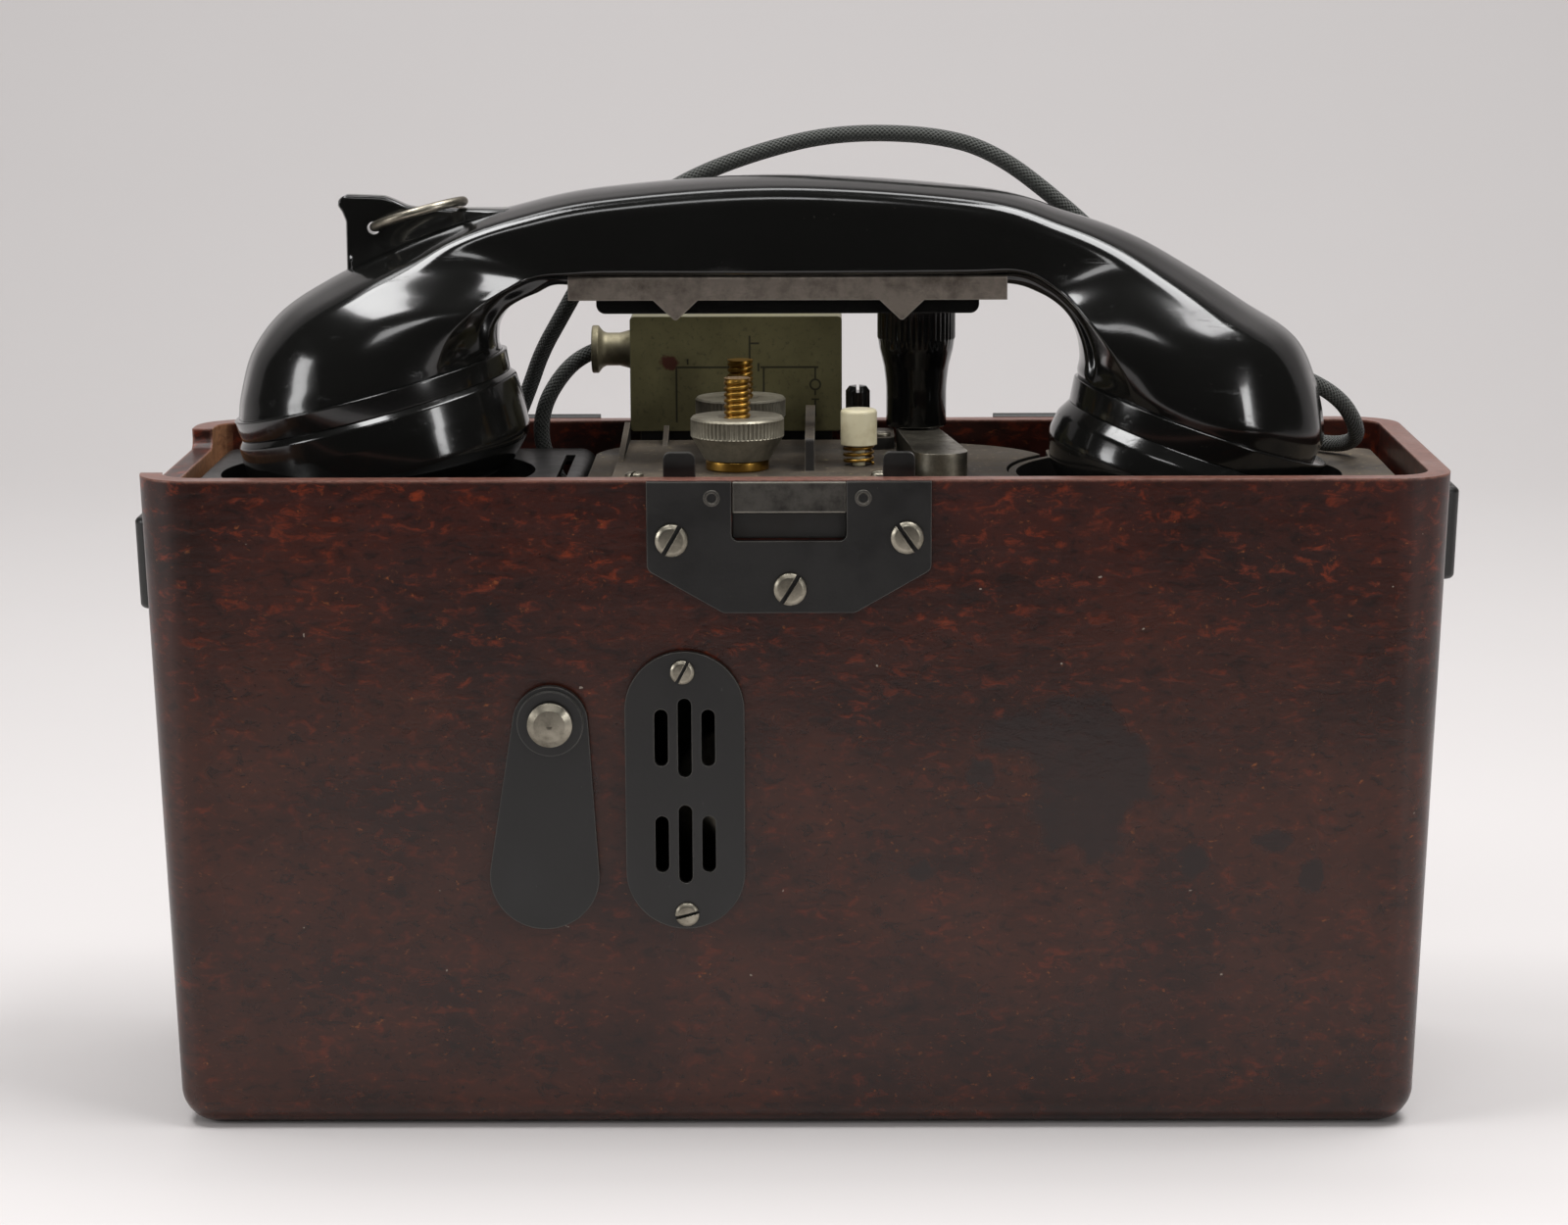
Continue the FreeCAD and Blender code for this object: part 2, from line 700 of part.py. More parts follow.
def make_side_fittings():
    for label, drop, turn, side in (("left", bracket_left_drop, left_tilt, -1),
                                    ("right", bracket_right_drop, right_tilt, 1)):
        half = bracket_length / 2
        inner = half - bracket_foot
        outline = [(0, -half), (bracket_sheet, -half), (bracket_sheet, -inner - 1, 1.5),
                   (bracket_reach, -inner + 1, 3), (bracket_reach, inner - 1, 3),
                   (bracket_sheet, inner + 1, 1.5), (bracket_sheet, half), (0, half),
                   (0, inner - bracket_sheet - 0.5, 0.8),
                   (bracket_reach - bracket_sheet, inner - bracket_sheet - 2, 1.2),
                   (bracket_reach - bracket_sheet, -inner + bracket_sheet + 2, 1.2),
                   (0, -inner + bracket_sheet + 0.5, 0.8)]
        name = "strap_bracket_" + label
        bracket = prism(name, "XY", outline, -drop - bracket_band, -drop)
        doc.recompute()
        reach = float(bracket_reach)

        def outer_edge(edge, reach=reach):
            box = edge.BoundBox
            return box.XMin > reach - 0.01 and box.ZLength < 0.01 and box.YLength > 5

        round_edges(bracket, outer_edge, bracket_sheet * 0.8)
        keep(place(bracket, side * case_width / 2, 0, case_height, turn))

    for label, side in (("left", -1), ("right", 1)):
        low, high = side * hinge_x - hinge_length / 2, side * hinge_x + hinge_length / 2
        leaf = prism("hinge_sheet_" + label, "YZ",
                     [(-hinge_sheet, -hinge_drop), (0, -hinge_drop), (0, -1), (-hinge_sheet, -1)],
                     low, high)
        knuckle = disc("hinge_knuckle_" + label, "YZ", -hinge_knuckle, -0.9, hinge_knuckle, low, high)
        hinge = fuse("hinge_leaf_" + label, leaf, knuckle)
        keep(place(hinge, 0, case_depth / 2, case_height, back_tilt))


# Deck


def make_deck():
    plate = prism("deck_plate", "XY",
                  [(deck_left, deck_front, 3), (deck_right, deck_front, 3),
                   (deck_right, deck_back, deck_right_round),
                   (deck_left, deck_back, deck_left_round)],
                  deck_under, deck_level)
    recess = disc("deck_recess", "XY", cup_x, 0, cup_radius + cup_wall + panel_gap,
                  deck_under - 1, deck_level + 1)
    socket = disc("crank_socket", "XY", arm_front_x, arm_front_y, stub_radius + touch_gap,
                  deck_under - 1, deck_level + 1)
    well = disc("button_well", "XY", button_x, button_y, button_stem + touch_gap,
                deck_under - 1, deck_level + 1)
    keep(cut("deck_panel", plate, recess, socket, well))

    lid_right = deck_left - panel_gap
    pan = prism("lid_pan", "XY", rectangle(lid_left, lid_front, lid_right, lid_back, 4),
                deck_under, deck_level)
    round_edges(pan, level_edge(float(deck_level)), lid_round)
    inside = prism("lid_inside", "XY",
                   rectangle(lid_left + lid_sheet, lid_front + lid_sheet,
                             lid_right - lid_sheet, lid_back - lid_sheet, 2.5),
                   deck_under - 1, deck_level - lid_sheet)
    slot_right = lid_right - slot_inset
    slot = prism("lid_slot", "XY", rectangle(slot_right - slot_width, slot_front, slot_right, slot_back),
                 deck_under - 1, deck_level + 1)
    mouth = disc("lid_mouth", "XY", dish_x, 0, dish_radius, deck_under - 1, deck_level + 1)
    floor = dish_floor - deck_level
    dish = turned("lid_dish",
                  [(0, floor - lid_sheet), (dish_radius - 3, floor - lid_sheet, 3),
                   (dish_radius + lid_sheet, floor + 3, 2), (dish_radius + lid_sheet, -lid_sheet / 2),
                   (dish_radius, -lid_sheet / 2), (dish_radius, floor + 3.5, 2),
                   (dish_radius - 4, floor, 2), (0, floor)])
    place(dish, dish_x, 0, deck_level)
    keep(fuse("battery_lid", cut("lid_sheet_cut", pan, inside, slot, mouth), dish))

    top = deck_level - cup_plate_drop
    plate_left = deck_right + panel_gap
    plate = prism("cup_plate", "XY", rectangle(plate_left, cup_front, cup_right, cup_back, 3),
                  deck_under, top)
    hole = disc("cup_mouth", "XY", cup_x, 0, cup_radius + cup_wall / 2, deck_under - 1, deck_level + 1)
    depth = cup_floor - top
    rim = cup_radius + cup_wall
    bowl = turned("cup_bowl",
                  [(0, depth - cup_wall), (rim - 4, depth - cup_wall, 3), (rim, depth + 5, 2),
                   (rim, 0), (cup_radius, 0), (cup_radius, depth + 5.5, 2),
                   (cup_radius - 4.5, depth, 2), (0, depth)])
    place(bowl, cup_x, 0, top)
    keep(fuse("transmitter_cup", cut("cup_plate_cut", plate, hole), bowl))


# Terminals and switches


def make_terminal_block():
    base = prism("block_base", "XY", rectangle(block_left, block_front, block_right, block_back, 2),
                 deck_level, block_top)
    cheek = prism("block_cheek", "YZ",
                  [(cheek_front, block_top - 0.4), (block_back, block_top - 0.4),
                   (block_back, block_top + cheek_height)],
                  block_left, block_left + 1.3)
    rib = prism("block_rib", "YZ",
                [(rib_front, block_top - 0.4), (rib_front, block_top + rib_height, 1),
                 (block_back, block_top + rib_height + 0.6), (block_back, block_top - 0.4)],
                rib_x - rib_width / 2, rib_x + rib_width / 2)
    fin = prism("block_fin", "YZ",
                [(block_back - 13, block_top - 0.4), (block_back, block_top + cheek_height - 0.8),
                 (block_back, block_top - 0.4)],
                block_left + 9, block_left + 10.2)
    guide = disc("block_guide", "XY", button_x, button_y, button_stem + running_gap,
                 deck_level - 1, block_top + 1)
    keep(cut("terminal_block", fuse("block_solid", base, cheek, rib, fin), guide))

    for label, y in (("front", post_front_y), ("rear", post_rear_y)):
        post = turned("line_post_" + label,
                      [(0, 0), (post_radius, 0), (post_radius, post_height - 0.6),
                       (post_radius - 0.6, post_height), (0, post_height)])
        keep(place(post, post_x, y, block_top))
        collar = turned("line_clamp_" + label,
                        [(post_radius + running_gap, 0), (collar_radius, 0, 0.3),
                         (collar_radius, collar_height, 0.3), (post_radius + running_gap, collar_height)])
        keep(place(collar, post_x, y, block_top))
        bore = post_radius + running_gap
        nut = turned("line_nut_" + label,
                     [(bore, 0), (nut_foot_radius, 0), (nut_radius, nut_cone),
                      (nut_radius, nut_height, 0.4), (bore + 1.4, nut_height, 0.3),
                      (bore, nut_height - 0.6)])
        keep(place(nut, post_x, y, block_top + collar_height))


def tangent_pair(start, start_way, end, end_way):
    """Two arcs that join a point and direction to another with no kink."""
    chord = end - start
    ways = start_way + end_way
    share = 2 * (1 - start_way.dot(end_way))
    along = chord.dot(ways)
    reach = (math.sqrt(along * along + share * chord.dot(chord)) - along) / share
    middle = (start + end + (start_way - end_way) * reach) * 0.5
    arcs = []
    for first, way, last in ((start, start_way, middle), (end, -end_way, middle)):
        span = last - first
        unit = Vector(span).normalize()
        side = way - unit * way.dot(unit)
        sagitta = span.Length / 2 * math.tan(way.getAngle(span) / 2)
        arcs.append(Part.Arc(first, first + span * 0.5 + side.normalize() * sagitta, last).toShape())
    return arcs


def make_spring():
    """The visible return spring of the test button, one unbroken wire."""
    radius, wire = float(spring_radius), float(spring_wire) / 2
    height = float(button_gap) - 2 * wire - 0.1
    turns = int(float(spring_turns))
    steps = turns * 4
    pitch = height / turns
    slope = pitch / (2 * math.pi * radius)

    def spot(step):
        angle = step * math.pi / 2
        return Vector(radius * math.cos(angle), radius * math.sin(angle), pitch * step / 4)

    def way(step):
        angle = step * math.pi / 2
        return Vector(-math.sin(angle), math.cos(angle), slope).normalize()

    edges = []
    for step in range(steps):
        edges += tangent_pair(spot(step), way(step), spot(step + 1), way(step + 1))
    lead = 2 * wire
    edges.append(Part.makeLine(spot(0) - way(0) * lead, spot(0)))
    edges.append(Part.makeLine(spot(steps), spot(steps) + way(steps) * lead))
    path = Part.Wire(Part.__sortEdges__(edges))
    first = spot(0) - way(0) * lead
    profile = Part.Wire(Part.Circle(first, way(0), wire).toShape())
    coil = path.makePipeShell([profile], True, False)
    spring = doc.addObject("Part::Feature", "test_button_spring")
    spring.Shape = coil
    spring.Label = "test_button_spring"
    place(spring, button_x, button_y, block_top + wire + 0.05)
    keep(spring)
    gap = pitch - 2 * wire
    length = path.Length
    print("spring: gap between turns %.2f mm, volume %.2f of %.2f mm3"
          % (gap, coil.Volume, math.pi * wire * wire * length))


def make_switches():
    button = turned("test_button",
                    [(0, -button_gap - 0.7), (button_stem, -button_gap - 0.7), (button_stem, 0),
                     (button_radius, 0), (button_radius, button_height, 0.8), (0, button_height)])
    keep(place(button, button_x, button_y, block_top + button_gap))
    make_spring()

    block = prism("fuse_block", "XY",
                  [(fuse_block_left, fuse_block_front, 1), (block_right - 0.3, fuse_block_front, 3),
                   (block_right - 0.3, block_back - 0.3, 1), (fuse_block_left, block_back - 0.3, 1)],
                  block_top, block_top + fuse_block_height)
    keep(block)
    base = block_top + fuse_block_height
    height = fuse_top - base
    cap = turned("fuse_cap_body",
                 [(0, 0), (fuse_radius, 0), (fuse_radius, height - 1.4),
                  (fuse_radius * 0.7, height - 0.3), (0, height)])
    place(cap, fuse_x, fuse_y, base)
    groove = prism("fuse_cap_slot", "XZ",
                   rectangle(fuse_x - 0.35, fuse_top - 1.6, fuse_x + 0.35, fuse_top + 1),
                   fuse_y - fuse_radius - 1, fuse_y + fuse_radius + 1)
    keep(cut("fuse_cap", cap, groove))


# Painted box and its gland


def make_plug_box():
    shell = prism("box_outside", "XZ", rectangle(box_left, box_bottom, box_right, box_top, 1),
                  box_front, box_back)
    room = prism("box_room", "XZ",
                 rectangle(box_left + box_sheet, box_bottom - 5, box_right - box_sheet,
                           box_top - box_sheet),
                 box_front + box_sheet, box_back - box_sheet)
    keep(cut("plug_box", shell, room))
    inner = prism("plug_block", "XY",
                  rectangle(box_left + box_sheet + 1, box_front + box_sheet,
                            box_right - box_sheet - 1, deck_back - 0.6),
                  deck_level, box_top - box_sheet - 6)
    keep(inner)

    mouth = cord_radius + 0.2
    gland = turned("cord_gland",
                   [(mouth, 0), (gland_foot, 0), (gland_neck, 2.6, 2),
                    (gland_neck, gland_length - 2.4, 2), (gland_flange, gland_length - 1.1, 0.4),
                    (gland_flange, gland_length + 0.4, 0.4), (mouth + 1.2, gland_length + 0.4),
                    (mouth, gland_length - 1.4)])
    keep(place(gland, box_left, gland_y, gland_z, Rotation(Vector(0, 1, 0), -90)))


# Crank


def make_crank():
    lift = touch_gap
    bar = strap("arm_bar", "XY",
                (arm_front_x, arm_front_y, arm_front_radius, arm_back_x, arm_back_y, arm_back_radius),
                deck_level + lift, deck_level + lift + arm_thickness)
    stub = disc("arm_stub", "XY", arm_front_x, arm_front_y, stub_radius,
                deck_level + lift - stub_length, deck_level + lift + 1)
    keep(fuse("crank_arm", bar, stub))

    base = deck_level + lift + arm_thickness
    pin = turned("crank_pin",
                 [(0, 0), (grip_pin_radius, 0), (grip_pin_radius, grip_height - 3),
                  (grip_pin_radius * 1.5, grip_height - 3), (grip_pin_radius * 1.5, grip_height - 1),
                  (0, grip_height - 0.6)])
    keep(place(pin, arm_back_x, arm_back_y, base))
    bore = grip_pin_radius + running_gap
    head = grip_pin_radius * 1.5 + touch_gap
    grip = turned("crank_grip",
                  [(bore, touch_gap), (grip_foot_radius, touch_gap, 0.6),
                   (grip_foot_radius, 9.5, 40), (grip_foot_radius + 0.5, 14, 12),
                   (grip_ring_radius - 0.5, grip_waist_height - 1, 8),
                   (grip_ring_radius, grip_waist_height + 1.5), (grip_ring_radius, grip_height - 3, 2),
                   (grip_ring_radius * 0.75, grip_height, 1), (head, grip_height),
                   (head, grip_height - 3 - touch_gap), (bore, grip_height - 3 - touch_gap)])
    keep(place(grip, arm_back_x, arm_back_y, base))


# The cord, from the handset's right end down, behind the handset and over to the gland

cord_route = [
    Vector(111.0, 5.0, 158.5), Vector(120.0, 9.0, 155.5), Vector(126.0, 16.5, 147.5),
    Vector(125.5, 27.0, 141.3), Vector(117.0, 36.0, 140.5), Vector(107.0, 40.0, 146.0),
    Vector(100.5, 38.5, 156.0), Vector(93.0, 33.5, 166.5), Vector(84.5, 26.5, 176.5),
    Vector(73.5, 20.0, 187.0), Vector(60.0, 16.3, 196.3), Vector(44.3, 15.8, 207.5),
    Vector(30.0, 16.0, 211.3), Vector(9.0, 16.0, 211.6), Vector(-9.0, 16.0, 207.3),
    Vector(-25.0, 16.2, 201.0), Vector(-37.5, 17.5, 192.5), Vector(-47.0, 21.0, 180.5),
    Vector(-53.0, 25.5, 170.0), Vector(-58.2, 31.5, 161.0), Vector(-61.5, 37.0, 152.0),
    Vector(-66.0, 40.4, 141.5), Vector(-71.0, 41.4, 130.5), Vector(-73.5, 41.4, 118.5),
    Vector(-70.5, 41.4, 107.5), Vector(-62.5, 41.4, 100.8), Vector(-53.0, 41.4, 101.5),
    Vector(-47.5, 41.4, 109.0), Vector(-48.5, 41.4, 119.0), Vector(-54.5, 41.4, 128.5),
    Vector(-59.5, 41.3, 138.0), Vector(-58.8, 40.3, 147.0), Vector(-54.5, 39.0, 154.5),
    Vector(-49.5, 38.2, 159.3), Vector(-45.5, 38.0, 160.7),
]


# Handset


def tilted_point(x, z, tilt, radial, down):
    """A point of a tilted round end, from its seam's centre: along the seam, then away from it."""
    angle = math.radians(tilt)
    return (x + radial * math.cos(angle) + down * math.sin(angle),
            z + radial * math.sin(angle) - down * math.cos(angle))


receiver_lean = float(receiver_tilt)
transmitter_lean = -float(transmitter_tilt)


def lowest_of(profile, x, z, tilt):
    """The lowest height that a tilted turned profile reaches."""
    heights = [tilted_point(x, z, tilt, side * float(point[0]), float(point[1]))[1]
               for point in profile for side in (-1, 1)]
    return min(heights)


def receiver_profile():
    """Half profile of the receiver cap, as radius and distance from the seam."""
    near = receiver_collar_height
    far = near + receiver_cap_height
    rim = receiver_cap_radius
    return [(0, near), (rim - 1.2, near), (rim, near + 1.6, 1), (rim, far - 7, 6),
            (rim * 0.8, far - 0.6, 5), (rim * 0.58, far, 2), (rim * 0.4, far - 2.6, 6), (0, far - 4)]


def transmitter_profile():
    """Half profile of the mouthpiece cap, as radius and distance from the seam."""
    near = transmitter_collar_height
    far = near + transmitter_cap_height
    rim = transmitter_cap_radius
    return [(0, near), (rim - 2.6, near), (rim, near + 7, 9), (rim - 3, near + 15, 9),
            (rim * 0.7, far, 3), (rim * 0.45, far - 1.8, 4), (0, far - 2.4)]


dish_floor = Size("Sizes.deck_level", float(deck_level)) - (
    float(deck_level) - lowest_of(receiver_profile(), float(receiver_x), float(receiver_z),
                                  receiver_lean) + float(touch_gap))
cup_floor = Size("Sizes.deck_level", float(deck_level)) - (
    float(deck_level) - lowest_of(transmitter_profile(), float(transmitter_x), float(transmitter_z),
                                  transmitter_lean) + float(touch_gap))


def hang(item, x, z, tilt):
    """Place a turned piece with its own +Z pointing down and away from the handset's seam."""
    turn = Rotation(Vector(0, 1, 0), -tilt).multiply(Rotation(Vector(1, 0, 0), 180))
    return place(item, x, 0, z, turn)


def section(top, under, half_width, squareness):
    """One closed cross-section of the handset between a point on its back and one on its inside."""
    centre = Vector((top[0] + under[0]) / 2, 0, (top[1] + under[1]) / 2)
    up = Vector(top[0] - under[0], 0, top[1] - under[1])
    half_height = up.Length / 2
    up.normalize()
    side = Vector(0, 1, 0)
    steps = 16
    points = []
    for step in range(steps):
        angle = 2 * math.pi * step / steps
        cosine, sine = math.cos(angle), math.sin(angle)
        across = math.copysign(abs(cosine) ** (2 / squareness), cosine) * half_width
        rise = math.copysign(abs(sine) ** (2 / squareness), sine) * half_height
        points.append(centre + side * across + up * rise)
    arcs = [Part.Arc(points[i], points[i + 1], points[(i + 2) % steps]).toShape()
            for i in range(0, steps, 2)]
    return Part.Wire(arcs)


def handset_sections():
    """Sections from the receiver's seam, round the elbow, along the grip and down to the mouthpiece."""
    receiver = float(receiver_radius)
    transmitter = float(transmitter_radius)
    grip = float(grip_half_width)
    seam_left = [tilted_point(float(receiver_x), float(receiver_z), receiver_lean, side * receiver, 0)
                 for side in (-1, 1)]
    seam_right = [tilted_point(float(transmitter_x), float(transmitter_z), transmitter_lean,
                               side * transmitter, 0) for side in (1, -1)]
    level = float(talk_level)
    return [
        (seam_left[0], seam_left[1], receiver, 2.0),
        ((-122.4, 156.2), (-65.4, 167.0), receiver * 0.985, 2.05),
        ((-119.6, 165.6), (-65.0, 171.0), receiver * 0.93, 2.15),
        ((-113.0, 174.2), (-62.8, 174.6), receiver * 0.84, 2.35),
        ((-102.5, 181.0), (-59.6, 176.8), receiver * 0.72, 2.7),
        ((-90.5, 186.8), (-56.2, 178.3), receiver * 0.60, 3.2),
        ((-77.5, 192.0), (-52.4, level), grip + 2.0, 3.8),
        ((-61.5, 196.9), (-46.8, level), grip + 0.7, 4.3),
        ((-41.0, 201.0), (-36.0, level), grip, 4.6),
        ((-2.3, 203.5), (-2.0, level), grip, 4.6),
        ((40.7, 199.7), (36.5, level), grip, 4.6),
        ((60.0, 195.3), (47.3, level), grip + 0.7, 4.3),
        ((74.6, 190.0), (53.5, 178.0), grip + 2.4, 3.8),
        ((87.6, 182.7), (57.8, 175.2), transmitter * 0.66, 3.2),
        ((99.6, 175.0), (60.6, 171.8), transmitter * 0.79, 2.7),
        ((110.2, 167.8), (62.3, 167.6), transmitter * 0.89, 2.35),
        ((115.0, 157.8), (62.9, 163.2), transmitter * 0.965, 2.12),
        (seam_right[0], seam_right[1], transmitter, 2.0),
    ]


def make_handset():
    wires = [section(*values) for values in handset_sections()]
    moulding = Part.makeLoft(wires, True, False)
    half = float(fin_thickness) / 2
    fin_points = [(-98.4, 179.0), (-98.2, 195.2), (-99.9, 196.4), (-100.0, 198.2), (-98.4, 199.3),
                  (-88.4, 199.0), (-82.4, 196.6), (-64.0, 196.2), (-58.0, 190.0), (-70.0, 180.0)]
    corners = [Vector(x, -half, z) for x, z in fin_points]
    fin = Part.Face(Part.makePolygon(corners + corners[:1])).extrude(Vector(0, 2 * half, 0))
    eye = Part.makeCylinder(float(fin_hole_radius), 4 * half,
                            Vector(float(ring_hole_x), -2 * half, float(ring_hole_z)), Vector(0, 1, 0))
    housing = moulding.fuse(fin).cut(eye)
    level, travel = float(talk_level), float(talk_travel)
    margin, width = 2 * float(touch_gap), float(talk_width)
    pocket = Part.makeBox(float(talk_right) - float(talk_left) + 2 * margin, width + 2 * margin,
                          float(talk_seat) + travel + margin + 5,
                          Vector(float(talk_left) - margin, -width / 2 - margin, level - 5))
    first, second = cord_route[0], cord_route[1]
    inlet = Part.makeCylinder(float(cord_radius) + float(touch_gap), 12,
                              first, second - first)
    seat = Part.makeSphere(float(cord_radius) + float(touch_gap), first)
    housing = housing.cut(pocket).cut(inlet).cut(seat)
    body = doc.addObject("Part::Feature", "handset_body")
    body.Shape = housing.removeSplitter()
    body.Label = "handset_body"
    keep(body)

    collar = turned("receiver_collar",
                    [(0, 0), (receiver_radius + 0.4, 0, 0.4),
                     (receiver_cap_radius - 0.6, receiver_collar_height, 0.4),
                     (0, receiver_collar_height)])
    keep(hang(collar, receiver_x, receiver_z, receiver_lean))
    keep(hang(turned("receiver_cap", receiver_profile()), receiver_x, receiver_z, receiver_lean))
    collar = turned("transmitter_collar",
                    [(0, 0), (transmitter_radius - 0.5, 0),
                     (transmitter_radius - 0.9, transmitter_collar_height), (0, transmitter_collar_height)])
    keep(hang(collar, transmitter_x, transmitter_z, transmitter_lean))
    keep(hang(turned("transmitter_cap", transmitter_profile()),
              transmitter_x, transmitter_z, transmitter_lean))

    make_talk_bar()

    ring = doc.addObject("Part::Torus", "hanging_ring")
    ring.Label = "hanging_ring"
    bind(ring, "Radius1", ring_radius)
    bind(ring, "Radius2", ring_wire)
    angle = math.radians(float(ring_tilt))
    turn = Rotation(Vector(0, 1, 0), -float(ring_tilt)) * Rotation(Vector(1, 0, 0), -float(ring_lean))
    ring.Placement = Placement(Vector(0, 0, 0), turn)
    bind(ring, "Placement.Base.x", ring_hole_x + ring_radius * math.cos(angle))
    bind(ring, "Placement.Base.z", ring_hole_z + ring_radius * math.sin(angle))
    keep(ring)


def make_talk_bar():
    """The press-to-talk bar under the grip and the contact tongue that it squeezes."""
    half = talk_width / 2
    low = talk_level + talk_seat - talk_depth
    bar = prism("talk_flange", "YZ",
                [(-half, low), (half, low), (half, low + talk_depth, 0.8), (-half, low + talk_depth, 0.8)],
                talk_left, talk_right)
    lower = prism("talk_channel", "XZ",
                  [(talk_left + 6, low), (talk_left + 6, low - 3.2, 2),
                   (talk_right - 6, low - 3.2, 2), (talk_right - 6, low)],
                  -half + 3, half - 3)
    teeth = []
    for label, x in (("left", talk_left + 23.4), ("right", talk_right - 22.9)):
        teeth.append(prism("talk_tooth_" + label, "XZ",
                           [(x - tooth_width / 2, low + 0.4), (x, low - tooth_depth, 0.8),
                            (x + tooth_width / 2, low + 0.4)],
                           -half, -half + 1.4))
    keep(fuse("talk_bar", bar, *teeth))
    keep(lower)


# Generator


def toothed_disc(name, teeth, width_low, width_high, bore):
    """A spur gear about the body's Y axis: a root disc and one tooth repeated round it."""
    root = gear_module * (teeth / 2 - 1.25)
    tip = gear_module * (teeth / 2 + 0.9)
    pitch = gear_module * teeth / 2
    body = new_body(name)

    def draw_root(sketch):
        draw_circle(sketch, 0, 0, root)
        draw_circle(sketch, 0, 0, bore)

    pad_between(body, "XZ", draw_root, width_low, width_high)
    half_pitch, half_tip, half_root = gear_module * 0.66, gear_module * 0.36, gear_module * 0.95

    def draw_tooth(sketch):
        draw_outline(sketch, [(-half_root, root - 0.3 * gear_module), (half_root, root - 0.3 * gear_module),
                              (half_pitch, pitch), (half_tip, tip), (-half_tip, tip),
                              (-half_pitch, pitch)])

    tooth = pad_between(body, "XZ", draw_tooth, width_low, width_high)
    sketch = tooth.Profile[0]
    doc.recompute()
    ring = body.newObject("PartDesign::PolarPattern", "Teeth")
    ring.Originals = [tooth]
    ring.Axis = (sketch, ["N_Axis"])
    ring.Angle = 360
    bind(ring, "Occurrences", teeth)
    body.Tip = ring
    return body


drive_x = cover_foot_x
drive_z = case_height - cover_foot_drop
axle_z = drive_z + gear_module * (wheel_teeth + pinion_teeth) / 2


def make_generator():
    left, right = drive_x - generator_half_width, drive_x + generator_half_width
    back_plate = generator_back - generator_plate
    frame = prism("generator_bracket", "YZ",
                  [(generator_front, generator_foot), (generator_back, generator_foot),
                   (generator_back, axle_z + 12), (back_plate, axle_z + 12),
                   (back_plate, generator_foot + generator_plate),
                   (generator_front + generator_plate, generator_foot + generator_plate),
                   (generator_front + generator_plate, axle_z + 12), (generator_front, axle_z + 12)],
                  left, right)
    bores = [disc("generator_bore_drive", "XZ", drive_x, drive_z, drive_radius + running_gap,
                  generator_front - 1, generator_back + 1),
             disc("generator_bore_axle", "XZ", drive_x, axle_z, armature_shaft + running_gap,
                  generator_front - 1, generator_back + 1)]

    field_front, field_back = generator_front + generator_plate + 2, back_plate - 2
    block = prism("pole_block", "XZ",
                  rectangle(drive_x - pole_half_width, axle_z - 13, drive_x + pole_half_width,
                            axle_z + 13),
                  field_front, field_back)
    tunnel = disc("pole_tunnel", "XZ", drive_x, axle_z, armature_radius + armature_gap,
                  field_front - 1, field_back + 1)
    feet = [prism("pole_foot_" + label, "XZ",
                  rectangle(drive_x + side * pole_half_width * 0.75 - 2.5, generator_foot + generator_plate,
                            drive_x + side * pole_half_width * 0.75 + 2.5, axle_z - 12.5),
                  field_front, field_back) for label, side in (("left", -1), ("right", 1))]
    keep(cut("generator_frame", fuse("generator_casting", frame, block, *feet), tunnel, *bores))

    outer = pole_half_width + magnet_leg
    spacing = (field_back - field_front - magnet_depth) / (magnet_count - 1)
    for index, label in enumerate(("front", "middle", "rear")):
        start = field_front + index * spacing
        keep(prism("magnet_" + label, "XZ",
                   [(drive_x - outer, axle_z - 11), (drive_x - pole_half_width, axle_z - 11),
                    (drive_x - pole_half_width, generator_top - magnet_leg, 6),
                    (drive_x + pole_half_width, generator_top - magnet_leg, 6),
                    (drive_x + pole_half_width, axle_z - 11), (drive_x + outer, axle_z - 11),
                    (drive_x + outer, generator_top, 12), (drive_x - outer, generator_top, 12)],
                   start, start + magnet_depth))

    gear_front = generator_front - gear_width - touch_gap
    wheel = toothed_disc("drive_wheel", wheel_teeth, gear_front, generator_front - touch_gap,
                         drive_radius)
    keep(place(wheel, drive_x, 0, drive_z))
    shaft = disc("drive_bar", "XZ", drive_x, drive_z, drive_radius,
                 gear_front - 3.4, generator_back - 0.5)
    socket = disc("drive_socket", "XZ", drive_x, drive_z, drive_radius * 0.7,
                  gear_front - 5, gear_front + 8)
    keep(cut("drive_shaft", shaft, socket))

    pinion = toothed_disc("armature_pinion", pinion_teeth, gear_front, generator_front - touch_gap,
                          armature_shaft)
    half_step = Rotation(Vector(0, 1, 0), 180 / float(pinion_teeth))
    keep(place(pinion, drive_x, 0, axle_z, half_step))
    core = disc("armature_core", "XZ", drive_x, axle_z, armature_radius, field_front + 1, field_back - 1)
    slots = [prism("armature_slot_" + label, "XZ",
                   rectangle(drive_x - armature_radius * 0.55, axle_z + low, drive_x + armature_radius * 0.55,
                             axle_z + high),
                   field_front, field_back)
             for label, low, high in (("top", armature_radius * 0.35, armature_radius + 1),
                                      ("bottom", -armature_radius - 1, -armature_radius * 0.35))]
    axle = disc("armature_axle", "XZ", drive_x, axle_z, armature_shaft, gear_front - 0.5,
                generator_back - 0.5)
    keep(fuse("armature", cut("armature_iron", core, *slots), axle))


# Bell


bell_x = gong_left_x + gong_radius + clapper_play + clapper_ball
gong_right_x = gong_left_x + 2 * (gong_radius + clapper_play + clapper_ball)
bell_z = gong_z + clapper_drop


